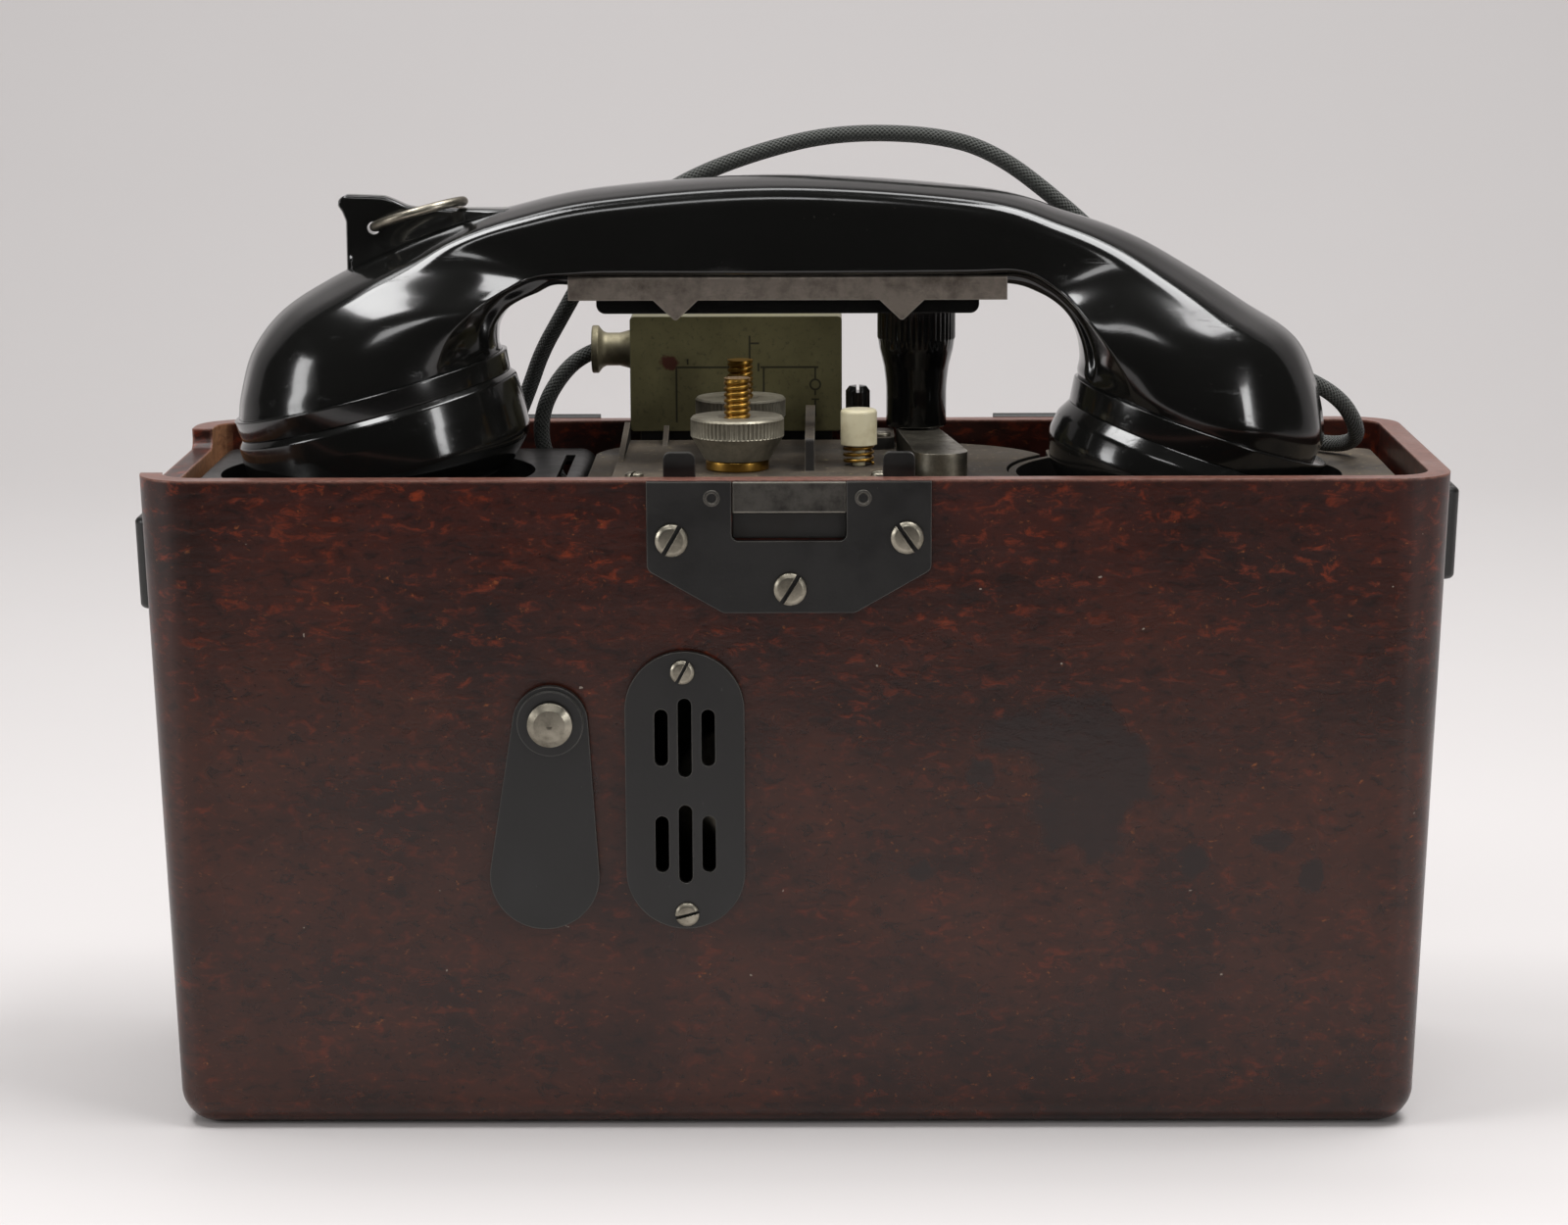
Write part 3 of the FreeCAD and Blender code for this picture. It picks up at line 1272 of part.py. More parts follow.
def make_bell():
    crown = gong_height
    for label, x in (("left", gong_left_x), ("right", gong_right_x)):
        gong = turned("gong_" + label,
                      [(0, crown), (gong_radius * 0.5, crown, 6), (gong_radius, crown * 0.45, 3),
                       (gong_radius, 0), (gong_radius - gong_sheet, 0),
                       (gong_radius - gong_sheet, crown * 0.45 - gong_sheet, 2),
                       (gong_radius * 0.5, crown - gong_sheet, 5), (0, crown - gong_sheet)])
        keep(place(gong, x, gong_y, gong_z, Rotation(Vector(1, 0, 0), 90)))

    plate_front = generator_back - generator_plate
    plate = prism("bell_plate", "XZ",
                  rectangle(bell_x - 24, bell_z - 12, bell_x + 24, bell_z + 12, 2),
                  plate_front, generator_back)
    bush = disc("bell_bush", "XZ", bell_x, bell_z, 4, plate_front - 10, plate_front + 1)
    bore = disc("bell_bore", "XZ", bell_x, bell_z, 1.5 + running_gap, plate_front - 11,
                generator_back - 0.5)
    keep(cut("bell_frame", fuse("bell_solid", plate, bush), bore))
    coils = []
    for label, side in (("left", -1), ("right", 1)):
        coil = turned("bell_coil_" + label,
                      [(0, 0), (coil_radius, 0), (coil_radius, 1.2), (coil_radius - 1.2, 1.2),
                       (coil_radius - 1.2, coil_length - 1.2), (coil_radius, coil_length - 1.2),
                       (coil_radius, coil_length), (0, coil_length)])
        coils.append(place(coil, bell_x + side * 14, plate_front, bell_z,
                           Rotation(Vector(1, 0, 0), 90)))
    keep(fuse("bell_coils", *coils))

    coil_face = plate_front - coil_length
    spindle = disc("clapper_spindle", "XZ", bell_x, bell_z, 1.5, gong_y - 3, plate_front - 2)
    rocker = prism("clapper_rocker", "XZ",
                   rectangle(bell_x - 20, bell_z - 3, bell_x + 20, bell_z + 3, 1),
                   coil_face - 5, coil_face - 2)
    rod = disc("clapper_rod", "XY", bell_x, gong_y - 1.5, 1.2, bell_z - clapper_drop, bell_z)
    ball = doc.addObject("Part::Sphere", "clapper_ball_solid")
    bind(ball, "Radius", clapper_ball)
    place(ball, bell_x, gong_y - 1.5, bell_z - clapper_drop)
    keep(fuse("bell_clapper", spindle, rocker, rod, ball))


# Chassis, battery, induction coil and condenser


def make_inside():
    profile = [(generator_back - chassis_flange, case_floor), (generator_back + chassis_sheet, case_floor),
               (generator_back + chassis_sheet, deck_under),
               (generator_back - chassis_flange, deck_under),
               (generator_back - chassis_flange, deck_under - chassis_sheet),
               (generator_back, deck_under - chassis_sheet),
               (generator_back, case_floor + chassis_sheet),
               (generator_back - chassis_flange, case_floor + chassis_sheet)]
    sheet_metal = prism("chassis_sheet", "YZ", profile, chassis_left, chassis_right)
    relief = prism("chassis_relief", "XZ",
                   rectangle(chassis_left - 1, chassis_step, deck_left - panel_gap - 3, deck_level, 4),
                   generator_back - chassis_flange - 1, generator_back + chassis_sheet + 1)
    posts = [disc("gong_post_" + label, "XZ", x, gong_z, gong_post_radius,
                  gong_y - gong_height + gong_sheet, generator_back)
             for label, x in (("left", gong_left_x), ("right", gong_right_x))]
    keep(fuse("chassis_frame", cut("chassis_plate", sheet_metal, relief), *posts))

    half = cell_radius + 1.2
    holder = prism("holder_block", "XY",
                   rectangle(cell_x - half, -2 * half + 0.6, cell_x + half, 2 * half - 0.6, 10),
                   case_floor, case_floor + holder_height)
    seats = [disc("holder_seat_" + label, "XY", cell_x, side * (cell_radius + 0.4), cell_radius + 0.2,
                  case_floor + 2, case_floor + holder_height + 1)
             for label, side in (("front", -1), ("rear", 1))]
    keep(cut("battery_holder", holder, *seats))
    for label, side in (("front", -1), ("rear", 1)):
        cell = turned("battery_cell_" + label,
                      [(0, 0), (cell_radius, 0, 1), (cell_radius, cell_height - 4, 2),
                       (3.2, cell_height - 4), (3.2, cell_height), (0, cell_height)])
        keep(place(cell, cell_x, side * (cell_radius + 0.4), case_floor + 2))
    top = case_floor + 2 + cell_height
    keep(prism("battery_strap", "XY",
               rectangle(cell_x - 4, -cell_radius - 5, cell_x + 4, cell_radius + 5, 3), top, top + 0.8))

    middle = cup_x + 2
    side = spool_side / 2
    spool_y = cup_back - 4 - spool_side / 2
    flange = 2
    pieces = [prism("spool_end_" + label, "YZ",
                    rectangle(spool_y - side, case_floor, spool_y + side, case_floor + spool_side, 2),
                    start, start + flange)
              for label, start in (("left", middle - spool_length / 2),
                                   ("right", middle + spool_length / 2 - flange))]
    winding = disc("spool_winding", "YZ", spool_y, case_floor + side, side - 2.5,
                   middle - spool_length / 2, middle + spool_length / 2)
    keep(fuse("induction_coil", winding, *pieces))
    keep(prism("condenser", "XY",
               rectangle(middle - condenser_width / 2, cup_front + 4,
                         middle + condenser_width / 2, cup_front + 4 + condenser_depth, 2),
               case_floor, case_floor + condenser_height))


# Cord


def make_cord():
    """Straight runs joined by arcs as large as the two runs beside each point allow."""
    points = [Vector(point) for point in cord_route]
    edges = []
    last = points[0]
    radii = []
    for index in range(1, len(points) - 1):
        here = points[index]
        back = points[index - 1] - here
        ahead = points[index + 1] - here
        reach = 0.45 * min(back.Length, ahead.Length)
        turn = math.pi - back.getAngle(ahead)
        radius = reach / math.tan(turn / 2)
        radii.append(radius)
        back.normalize()
        ahead.normalize()
        start = here + back * reach
        end = here + ahead * reach
        inward = (back + ahead).normalize()
        centre = here + inward * (radius / math.cos(turn / 2))
        middle = centre - inward * radius
        edges.append(Part.LineSegment(last, start).toShape())
        edges.append(Part.Arc(start, middle, end).toShape())
        last = end
    edges.append(Part.LineSegment(last, points[-1]).toShape())
    path = Part.Wire(edges)
    radius = float(cord_radius)
    profile = Part.Wire(Part.Circle(points[0], points[1] - points[0], radius).toShape())
    tube = path.makePipeShell([profile], True, False)
    cord = doc.addObject("Part::Feature", "handset_cord")
    cord.Shape = tube
    cord.Label = "handset_cord"
    keep(cord)
    print("cord: length %.1f mm, radii %s" % (path.Length, " ".join("%.0f" % item for item in radii)))
    print("cord: volume %.1f of %.1f mm3" % (tube.Volume, math.pi * radius * radius * path.Length))


make_case()
make_front_fittings()
make_side_fittings()
make_deck()
make_terminal_block()
make_switches()
make_plug_box()
make_crank()
make_handset()
make_generator()
make_bell()
make_inside()
make_cord()
doc.recompute()


def check_document():
    """Stop if anything in the document failed to build."""
    for item in doc.Objects:
        if "Invalid" in item.State or "Error" in item.State:
            raise RuntimeError("%s is in state %s" % (item.Label, item.State))
    for name, item in nodes.items():
        shape = item.Shape
        if shape.isNull() or not shape.isValid() or not shape.Solids:
            raise RuntimeError("%s has no valid solid" % name)


def write_parts():
    """One file for each sub-part."""
    os.makedirs("parts", exist_ok=True)
    for name, item in nodes.items():
        item.Shape.exportStep(os.path.join("parts", name + ".step"))
    print("%d sub-parts written" % len(nodes))


check_document()
write_parts()
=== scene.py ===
"""A field telephone: its finishes, moulded handset, cord, fittings and a plain studio."""

import json
import math

import bmesh
import bpy
from bpy.props import FloatProperty, FloatVectorProperty, IntProperty, PointerProperty
from mathutils import Matrix, Vector


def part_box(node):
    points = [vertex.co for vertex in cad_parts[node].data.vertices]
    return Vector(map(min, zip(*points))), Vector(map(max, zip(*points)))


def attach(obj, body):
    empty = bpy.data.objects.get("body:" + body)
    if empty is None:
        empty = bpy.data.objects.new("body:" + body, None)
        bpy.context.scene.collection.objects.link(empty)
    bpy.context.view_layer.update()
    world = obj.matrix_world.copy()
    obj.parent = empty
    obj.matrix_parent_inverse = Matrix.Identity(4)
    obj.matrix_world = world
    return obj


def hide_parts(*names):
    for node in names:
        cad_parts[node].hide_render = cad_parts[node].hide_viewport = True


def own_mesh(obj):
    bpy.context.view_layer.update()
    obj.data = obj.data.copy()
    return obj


bl_info = {
    "name": "Field Telephone",
    "version": (1, 0, 0),
    "blender": (4, 5, 0),
    "location": "View3D > Sidebar > Telephone",
    "description": "Builds the looks of a field telephone with its handset, cord and fittings",
    "category": "Object",
}

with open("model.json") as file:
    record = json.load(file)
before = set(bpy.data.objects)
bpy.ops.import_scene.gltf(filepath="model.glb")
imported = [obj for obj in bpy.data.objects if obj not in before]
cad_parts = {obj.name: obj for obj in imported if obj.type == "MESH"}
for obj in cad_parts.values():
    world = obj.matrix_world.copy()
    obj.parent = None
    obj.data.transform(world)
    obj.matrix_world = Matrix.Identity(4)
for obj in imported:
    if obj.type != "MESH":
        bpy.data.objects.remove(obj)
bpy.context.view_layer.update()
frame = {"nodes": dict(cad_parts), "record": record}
MM = 0.001


# Colours and node helpers


def srgb(code):
    """Linear colour of a hex code such as 3A1E16."""
    values = [int(code[i:i + 2], 16) / 255 for i in (0, 2, 4)]
    linear = [v / 12.92 if v <= 0.04045 else ((v + 0.055) / 1.055) ** 2.4 for v in values]
    return (*linear, 1.0)


def add_node(tree, kind, *values, out=None, **settings):
    """Add a node with its settings; values or sockets go to its inputs in order, or by key.

    It gives the output named or numbered by out, or the node itself when there is none.
    """
    item = tree.nodes.new(kind)
    for key, value in settings.items():
        setattr(item, key, value)
    keyed = values[0] if values and isinstance(values[0], dict) else dict(enumerate(values))
    for key, value in keyed.items():
        if isinstance(value, bpy.types.NodeSocket):
            tree.links.new(value, item.inputs[key])
        else:
            item.inputs[key].default_value = value
    return item if out is None else item.outputs[out]


def shader_nodes(tree):
    """The same for a shader tree, by the kind's short name and for its first output."""
    def add(kind, *values, out=0, **settings):
        return add_node(tree, "ShaderNode" + kind, *values, out=out, **settings)
    return add


def mottle(add, place, width, detail=4.0, rough=0.55, stretch=(1, 1, 1), distortion=0.0):
    """A cloudy pattern between 0 and 1, its lumps of a width in millimetres, with finer layers."""
    moved = add("Mapping", {"Vector": place, "Scale": stretch})
    return add("TexNoise", {"Vector": moved, "Scale": 1 / (width * MM), "Detail": detail,
                            "Roughness": rough, "Distortion": distortion})


def coat(add, base, colour, share):
    """A colour laid over another where the share is 1."""
    return add("Mix", {0: share, 6: base, 7: colour}, data_type="RGBA", out=2)


def worn_edge(add, width, low=0.02, high=0.25):
    """How near a point is to a sharp edge, from 0 on a flat face to 1 on the edge."""
    soft = add("Bevel", width, samples=6)
    true = add("NewGeometry", out="True Normal")
    away = add("Math", 1.0, add("VectorMath", soft, true, operation="DOT_PRODUCT", out="Value"),
               operation="SUBTRACT")
    return add("MapRange", away, low, high)


def stain_patch(add, place, x, z, wide, tall, ragged=0.5, soft=0.12):
    """A stain with a ragged outline around a point of the front wall, 1 inside and 0 outside."""
    across, climb = [
        add("Math", add("Math", add("SeparateXYZ", place, out=axis), middle * MM, operation="SUBTRACT"),
            half * MM, operation="DIVIDE") for axis, middle, half in (("X", x, wide), ("Z", z, tall))]
    far = add("Math", add("Math", add("Math", across, across, operation="MULTIPLY"),
                          add("Math", climb, climb, operation="MULTIPLY")), operation="SQRT")
    wobble = add("Math", mottle(add, place, wide / 0.9, 3, 0.55), 0.5, operation="SUBTRACT")
    far = add("Math", far, add("Math", wobble, 4 * ragged, operation="MULTIPLY"))
    return add("MapRange", far, 1 - soft, 1 + soft, 1.0, 0.0)


def start_finish(name):
    """An empty material: the function that adds its nodes, its shader and its object coordinates."""
    material = bpy.data.materials.new(name)
    material.use_nodes = True
    material.node_tree.nodes.clear()
    add = shader_nodes(material.node_tree)
    shader = add("BsdfPrincipled", out=None)
    add("OutputMaterial", shader.outputs["BSDF"], out=None)
    return material, add, shader, add("TexCoord", out="Object")


def set_relief(add, shader, height, depth, rounding=0.0):
    """Fine relief of a given depth in metres, over edges rounded by a small radius."""
    inputs = {"Height": height, "Distance": depth, "Strength": 1.0}
    if rounding:
        inputs["Normal"] = add("Bevel", rounding, samples=6, out="Normal")
    link_to(shader, Normal=add("Bump", inputs, out="Normal"))


def link_to(shader, **sockets):
    """Link sockets and set values on shader inputs; spaces in their names are written as underscores."""
    for name, value in sockets.items():
        socket = shader.inputs[name.replace("_", " ")]
        if isinstance(value, bpy.types.NodeSocket):
            shader.id_data.links.new(value, socket)
        else:
            socket.default_value = value


# Finishes


def mottled_case_finish():
    """Red-brown phenolic with darker and rusty flakes, glossier towards the foot; lower down it turns
    greyer with fainter flakes, a painted reflection of the pale floor.
    """
    material, add, shader, place = start_finish("mottled phenolic case")
    height = add("SeparateXYZ", place, out="Z")
    facing = add("SeparateXYZ", add("NewGeometry", out="True Normal"), out=None).outputs
    cloud = mottle(add, place, 45.5, 5, 0.6, (1, 1, 1.6))
    flakes = mottle(add, place, 4.35, 7, 0.68, (1, 1, 1.9), 0.5)
    chips = mottle(add, place, 1.79, 5, 0.6, (1, 1, 1.5), 0.3)
    # Painted reflection: lower down, the case's colour turns greyer, standing in for the pale floor
    # reflected in the phenolic.
    upper = add("MapRange", add("Math", height, add("Math", cloud, 0.07, operation="MULTIPLY")),
                0.118, 0.168)
    base = coat(add, srgb("38190E"), srgb("35120A"), upper)
    dark = add("MapRange", cloud, 0.40, 0.62)
    base = coat(add, base, srgb("200C07"), add("Math", dark, 0.8, operation="MULTIPLY"))
    rusty = add("MapRange", flakes, 0.535, 0.69)
    # Painted reflection: the rusty flakes are fainter lower down, as part of the floor's painted
    # reflection.
    strength = add("MapRange", upper, 0, 1, 0.34, 0.8)
    veins = add("MapRange", mottle(add, place, 16.7, 4, 0.6), 0.38, 0.62, 0.35, 1.0)
    strength = add("Math", strength, veins, operation="MULTIPLY")
    base = coat(add, base, srgb("7E2E0E"), add("Math", rusty, strength, operation="MULTIPLY"))
    bright = add("Math", add("MapRange", chips, 0.64, 0.75), veins, operation="MULTIPLY")
    base = coat(add, base, srgb("A8602C"), add("Math", bright, 0.5, operation="MULTIPLY"))
    pits = add("MapRange", flakes, 0.37, 0.45, 1.0, 0.0)
    base = coat(add, base, srgb("100604"), add("Math", pits, 0.6, operation="MULTIPLY"))

    stain = stain_patch(add, place, 62, 80, 13, 20, 0.6)
    for spot in ((47, 88, 9, 5), (40, 80, 3, 3), (102, 64.5, 4.2, 2.6), (110.7, 57, 2.6, 3.4),
                 (85.5, 60.2, 3.2, 3.4), (27, 58, 2.6, 2)):
        stain = add("Math", stain, stain_patch(add, place, *spot, 0.45, 0.2), operation="MAXIMUM")
    base = coat(add, base, srgb("160A08"), add("Math", stain, 0.8, operation="MULTIPLY"))
    lime = add("MapRange", mottle(add, place, 2.38, 2, 0.4), 0.80, 0.815)
    base = coat(add, base, srgb("B9AEA0"), add("Math", lime, 0.45, operation="MULTIPLY"))

    worn = worn_edge(add, 1.4 * MM, 0.02, 0.22)
    ragged = add("Math", worn, add("MapRange", chips, 0.3, 0.55, 0.35, 1.0), operation="MULTIPLY")
    base = coat(add, base, srgb("94685A"), ragged)
    end = add("Math", add("MapRange", add("SeparateXYZ", place, out="X"), -0.1365, -0.1300, 1.0, 0.0),
              add("MapRange", facing["X"], 0.5, 0.8), operation="MULTIPLY")
    end = add("Math", end, add("MapRange", height, 0.118, 0.134), operation="MULTIPLY")
    end = add("Math", end, add("MapRange", chips, 0.3, 0.6, 0.45, 1.0), operation="MULTIPLY")
    base = coat(add, base, srgb("B4825E"), end)
    crest = add("Math", add("MapRange", facing["Z"], 0.7, 0.95),
                add("MapRange", height, 0.1385, 0.1405), operation="MULTIPLY")
    crest = add("Math", crest, add("MapRange", chips, 0.25, 0.6, 0.3, 0.85), operation="MULTIPLY")
    base = coat(add, base, srgb("7A5348"), crest)

    rough = add("MapRange", mottle(add, place, 29.4, 4, 0.6), 0.3, 0.7, 0.20, 0.34)
    rough = add("Math", rough, add("Math", upper, 0.08, operation="MULTIPLY"))
    rough = add("Math", rough, add("Math", stain, 0.12, operation="MULTIPLY"), operation="SUBTRACT")
    ripple = mottle(add, place, 7.69, 3, 0.5, (0.35, 1, 1.3))
    relief = add("Math", add("Math", flakes, 0.5, operation="MULTIPLY"),
                 add("Math", ripple, add("Math", upper, 1.2, operation="MULTIPLY"),
                     operation="MULTIPLY"))
    relief = add("Math", relief, add("Math", mottle(add, place, 0.769, 3, 0.5), 0.2,
                                     operation="MULTIPLY"))
    set_relief(add, shader, relief, 0.10 * MM, 0.7 * MM)
    link_to(shader, Base_Color=base, Roughness=rough, Coat_Weight=0.06, Coat_Roughness=0.16, IOR=1.42)
    return material


def polished_black_finish():
    """Glossy black phenolic with fine rubbing marks and a little dust."""
    material, add, shader, place = start_finish("polished black phenolic")
    haze = mottle(add, place, 25, 5, 0.6)
    hairs = mottle(add, place, 2.38, 6, 0.7, (0.12, 1, 1))
    marks = add("MapRange", hairs, 0.60, 0.72)
    dust = add("MapRange", mottle(add, place, 0.667, 3, 0.6), 0.70, 0.78)
    base = coat(add, srgb("121211"), srgb("8F8A80"), add("Math", dust, 0.12, operation="MULTIPLY"))
    rough = add("Math", add("MapRange", haze, 0.3, 0.7, 0.10, 0.20),
                add("Math", marks, 0.16, operation="MULTIPLY"))
    set_relief(add, shader, add("Math", marks, add("Math", haze, 2.0, operation="MULTIPLY")),
               0.012 * MM, 0.35 * MM)
    link_to(shader, Base_Color=base, Roughness=rough, Coat_Weight=0.3, Coat_Roughness=0.06, IOR=1.5)
    return material


def enamel_finish(name, colour, edge, roughness=0.42, wear=0.5, rust=0.0):
    """Satin enamel on sheet steel, rubbed along its edges."""
    material, add, shader, place = start_finish(name)
    patches = mottle(add, place, 11.1, 5, 0.62)
    grain = mottle(add, place, 0.714, 3, 0.5)
    base = coat(add, srgb(colour), srgb(edge), add("MapRange", patches, 0.35, 0.7, 0, 0.5))
    rubbed = add("Math", worn_edge(add, 0.6 * MM, 0.05, 0.35),
                 add("MapRange", patches, 0.35, 0.6, 0.2, wear), operation="MULTIPLY")
    base = coat(add, base, srgb("77736A"), rubbed)
    if rust:
        spots = add("MapRange", mottle(add, place, 6.67, 6, 0.7), 0.66, 0.74, 0, rust)
        base = coat(add, base, srgb("6B3218"), spots)
    scratches = add("MapRange", mottle(add, place, 2, 5, 0.7, (1, 0.08, 0.5)), 0.68, 0.74, 0, 0.25)
    base = coat(add, base, srgb("8C887E"), scratches)
    rough = add("MapRange", patches, 0.3, 0.7, roughness - 0.08, roughness + 0.12)
    set_relief(add, shader, grain, 0.02 * MM, 0.35 * MM)
    link_to(shader, Base_Color=base, Roughness=rough, Coat_Weight=0.1, Coat_Roughness=0.3)
    return material


def dusty_moulding_finish():
    """Matt black moulding under years of dust, with crumbs lying on it."""
    material, add, shader, place = start_finish("dusty black moulding")
    film = mottle(add, place, 16.7, 6, 0.65)
    specks = mottle(add, place, 1.43, 5, 0.65)
    crumbs = mottle(add, place, 3.03, 3, 0.6)
    up = add("SeparateXYZ", add("NewGeometry", out="Normal"), out="Z")
    lies = add("Math", add("MapRange", up, 0.3, 0.95), add("MapRange", film, 0.25, 0.65),
               operation="MULTIPLY")
    base = coat(add, srgb("201D1A"), srgb("6E604E"), add("Math", lies, 0.55, operation="MULTIPLY"))
    grit = add("Math", add("MapRange", specks, 0.60, 0.70), add("MapRange", up, 0.3, 0.95, 0, 0.6),
               operation="MULTIPLY")
    base = coat(add, base, srgb("94866A"), grit)
    lumps = add("Math", add("MapRange", crumbs, 0.70, 0.74), add("MapRange", up, 0.6, 0.95),
                operation="MULTIPLY")
    base = coat(add, base, srgb("A89A6C"), add("Math", lumps, 0.7, operation="MULTIPLY"))
    rubbed = add("Math", worn_edge(add, 0.5 * MM), 0.6, operation="MULTIPLY")
    base = coat(add, base, srgb("82796A"), rubbed)
    set_relief(add, shader, add("Math", specks, lumps), 0.06 * MM, 0.35 * MM)
    link_to(shader, Base_Color=base, Roughness=add("MapRange", film, 0.3, 0.7, 0.5, 0.8))
    return material


def metal_finish(name, colour, dirt, roughness=0.3, grime=0.5, brush=(1, 1, 1), metallic=1.0,
                 edge=""):
    """Bare or plated metal with tarnish and fine marks."""
    material, add, shader, place = start_finish(name)
    patches = mottle(add, place, 5.56, 6, 0.65)
    lines = mottle(add, place, 1.11, 4, 0.6, brush)
    share = add("MapRange", patches, 0.42, 0.7, 0, grime)
    base = coat(add, srgb(colour), srgb(dirt), share)
    base = coat(add, base, srgb(dirt), add("MapRange", lines, 0.6, 0.75, 0, 0.35))
    # Pale edge colour: rubbed metal; on the talk bar it is also a painted highlight.
    if edge:
        base = coat(add, base, srgb(edge),
                    add("Math", worn_edge(add, 0.7 * MM), 0.8, operation="MULTIPLY"))
    rough = add("Math", add("MapRange", patches, 0.3, 0.7, roughness - 0.06, roughness + 0.14),
                add("MapRange", lines, 0.5, 0.7, 0.0, 0.1))
    set_relief(add, shader, add("Math", lines, add("Math", patches, 0.5, operation="MULTIPLY")),
               0.012 * MM, 0.2 * MM)
    link_to(shader, Base_Color=base, Roughness=rough, Metallic=metallic)
    return material


def plain_plastic_finish(name, colour, stain, roughness=0.35, amount=0.4):
    """Aged cast plastic or card with stains."""
    material, add, shader, place = start_finish(name)
    patches = mottle(add, place, 4.17, 5, 0.6)
    base = coat(add, srgb(colour), srgb(stain), add("MapRange", patches, 0.45, 0.72, 0, amount))
    base = coat(add, base, srgb(stain), add("Math", worn_edge(add, 0.4 * MM), 0.3, operation="MULTIPLY"))
    set_relief(add, shader, patches, 0.02 * MM, 0.3 * MM)
    link_to(shader, Base_Color=base,
            Roughness=add("MapRange", patches, 0.3, 0.7, roughness, roughness + 0.15))
    return material


def braid_finish():
    """Dark green-grey cotton braid with painted shade, near black, between its strands; woven on the
    cord's own length and girth.
    """
    material, add, shader, _ = start_finish("braided cotton")
    uv = add("TexCoord", out="UV")
    around, along = add("SeparateXYZ", uv, out="X"), add("SeparateXYZ", uv, out="Y")
    strands = 12.0

    def lay(sign):
        turn = add("Math", around, strands * sign, operation="MULTIPLY")
        run = add("Math", turn, add("Math", along, strands * 0.9, operation="MULTIPLY"))
        wave = add("Math", add("Math", run, 2 * math.pi, operation="MULTIPLY"), operation="SINE")
        return wave

    left, right = lay(1.0), lay(-1.0)
    over = add("Math", left, right, operation="MAXIMUM")
    weave = add("Math", over, add("Math", add("Math", left, right, operation="MULTIPLY"), 0.35,
                                  operation="MULTIPLY"))
    shade = add("MapRange", weave, -0.6, 1.2)
    fibre = mottle(add, uv, 16.7, 3, 0.6, (1, 6, 1))
    # Painted shade: near black in the valleys between the strands, the dark green-grey yarn on their
    # crests.
    base = coat(add, srgb("040404"), srgb("3A3D37"), shade)
    base = coat(add, base, srgb("76796C"), add("MapRange", fibre, 0.56, 0.68, 0, 0.75))
    set_relief(add, shader, add("Math", shade, add("Math", fibre, 0.3, operation="MULTIPLY")), 0.35 * MM)
    link_to(shader, Base_Color=base, Roughness=0.75, Sheen_Weight=0.25, Sheen_Roughness=0.5)
    return material


def painted_box_finish():
    """Worn olive enamel with a faint wiring diagram on its front and a spot of rust."""
    material, add, shader, place = start_finish("olive enamel with a diagram")
    parts = add("SeparateXYZ", place, out=None)
    front = add("MapRange", parts.outputs["Y"], 0.0316, 0.0320, 1.0, 0.0)

    def near(socket, value, half):
        away = add("Math", add("Math", parts.outputs[socket], value * MM, operation="SUBTRACT"),
                   operation="ABSOLUTE")
        return add("MapRange", away, half * MM, (half + 0.12) * MM, 1.0, 0.0)

    ink = None
    for x, z, across, climb in ((-19.5, 157.3, 8.0, 0.16), (-1.5, 157.3, 6.6, 0.16),
                                (-27.4, 151.0, 0.16, 6.3), (4.4, 151.4, 0.16, 0.5),
                                (4.4, 147.8, 0.16, 1.9), (4.4, 156.0, 0.16, 1.4),
                                (-10.6, 161.5, 0.16, 3.0), (-9.6, 162.8, 1.1, 0.16),
                                (-7.4, 153.2, 0.16, 4.2), (-5.2, 150.4, 2.2, 0.16),
                                (4.4, 149.9, 0.8, 0.14), (-24.8, 158.6, 0.14, 0.6),
                                (-12.6, 157.3, 0.16, 0.9), (-8.6, 157.3, 0.16, 0.9)):
        stroke = add("Math", near("X", x, across), near("Z", z, climb), operation="MULTIPLY")
        ink = stroke if ink is None else add("Math", ink, stroke, operation="MAXIMUM")
    across = add("Math", parts.outputs["X"], 4.4 * MM, operation="SUBTRACT")
    climb = add("Math", parts.outputs["Z"], 153.3 * MM, operation="SUBTRACT")
    far = add("Math", add("Math", add("Math", across, across, operation="MULTIPLY"),
                          add("Math", climb, climb, operation="MULTIPLY")), operation="SQRT")
    ring = add("MapRange", add("Math", add("Math", far, 1.15 * MM, operation="SUBTRACT"),
                               operation="ABSOLUTE"), 0.16 * MM, 0.28 * MM, 1.0, 0.0)
    ink = add("Math", add("Math", ink, ring, operation="MAXIMUM"), front, operation="MULTIPLY")

    patches = mottle(add, place, 14.3, 6, 0.65)
    specks = mottle(add, place, 1.11, 5, 0.65)
    base = coat(add, srgb("5B5636"), srgb("6E6844"), add("MapRange", patches, 0.35, 0.7))
    base = coat(add, base, srgb("2C2A1F"), add("MapRange", specks, 0.55, 0.72, 0, 0.6))
    rubbed = add("Math", worn_edge(add, 0.6 * MM, 0.05, 0.35),
                 add("MapRange", specks, 0.3, 0.6, 0.3, 0.9), operation="MULTIPLY")
    base = coat(add, base, srgb("8C8A72"), rubbed)
    base = coat(add, base, srgb("17160F"), add("Math", ink, 0.85, operation="MULTIPLY"))
    rust = add("Math", stain_patch(add, place, -29.2, 158.3, 1.9, 1.6, 0.4, 0.2), front,
               operation="MULTIPLY")
    base = coat(add, base, srgb("4A2214"), rust)
    rough = add("MapRange", patches, 0.3, 0.7, 0.38, 0.55)
    set_relief(add, shader, specks, 0.03 * MM, 0.35 * MM)
    link_to(shader, Base_Color=base, Roughness=rough, Coat_Weight=0.1, Coat_Roughness=0.3)
    return material


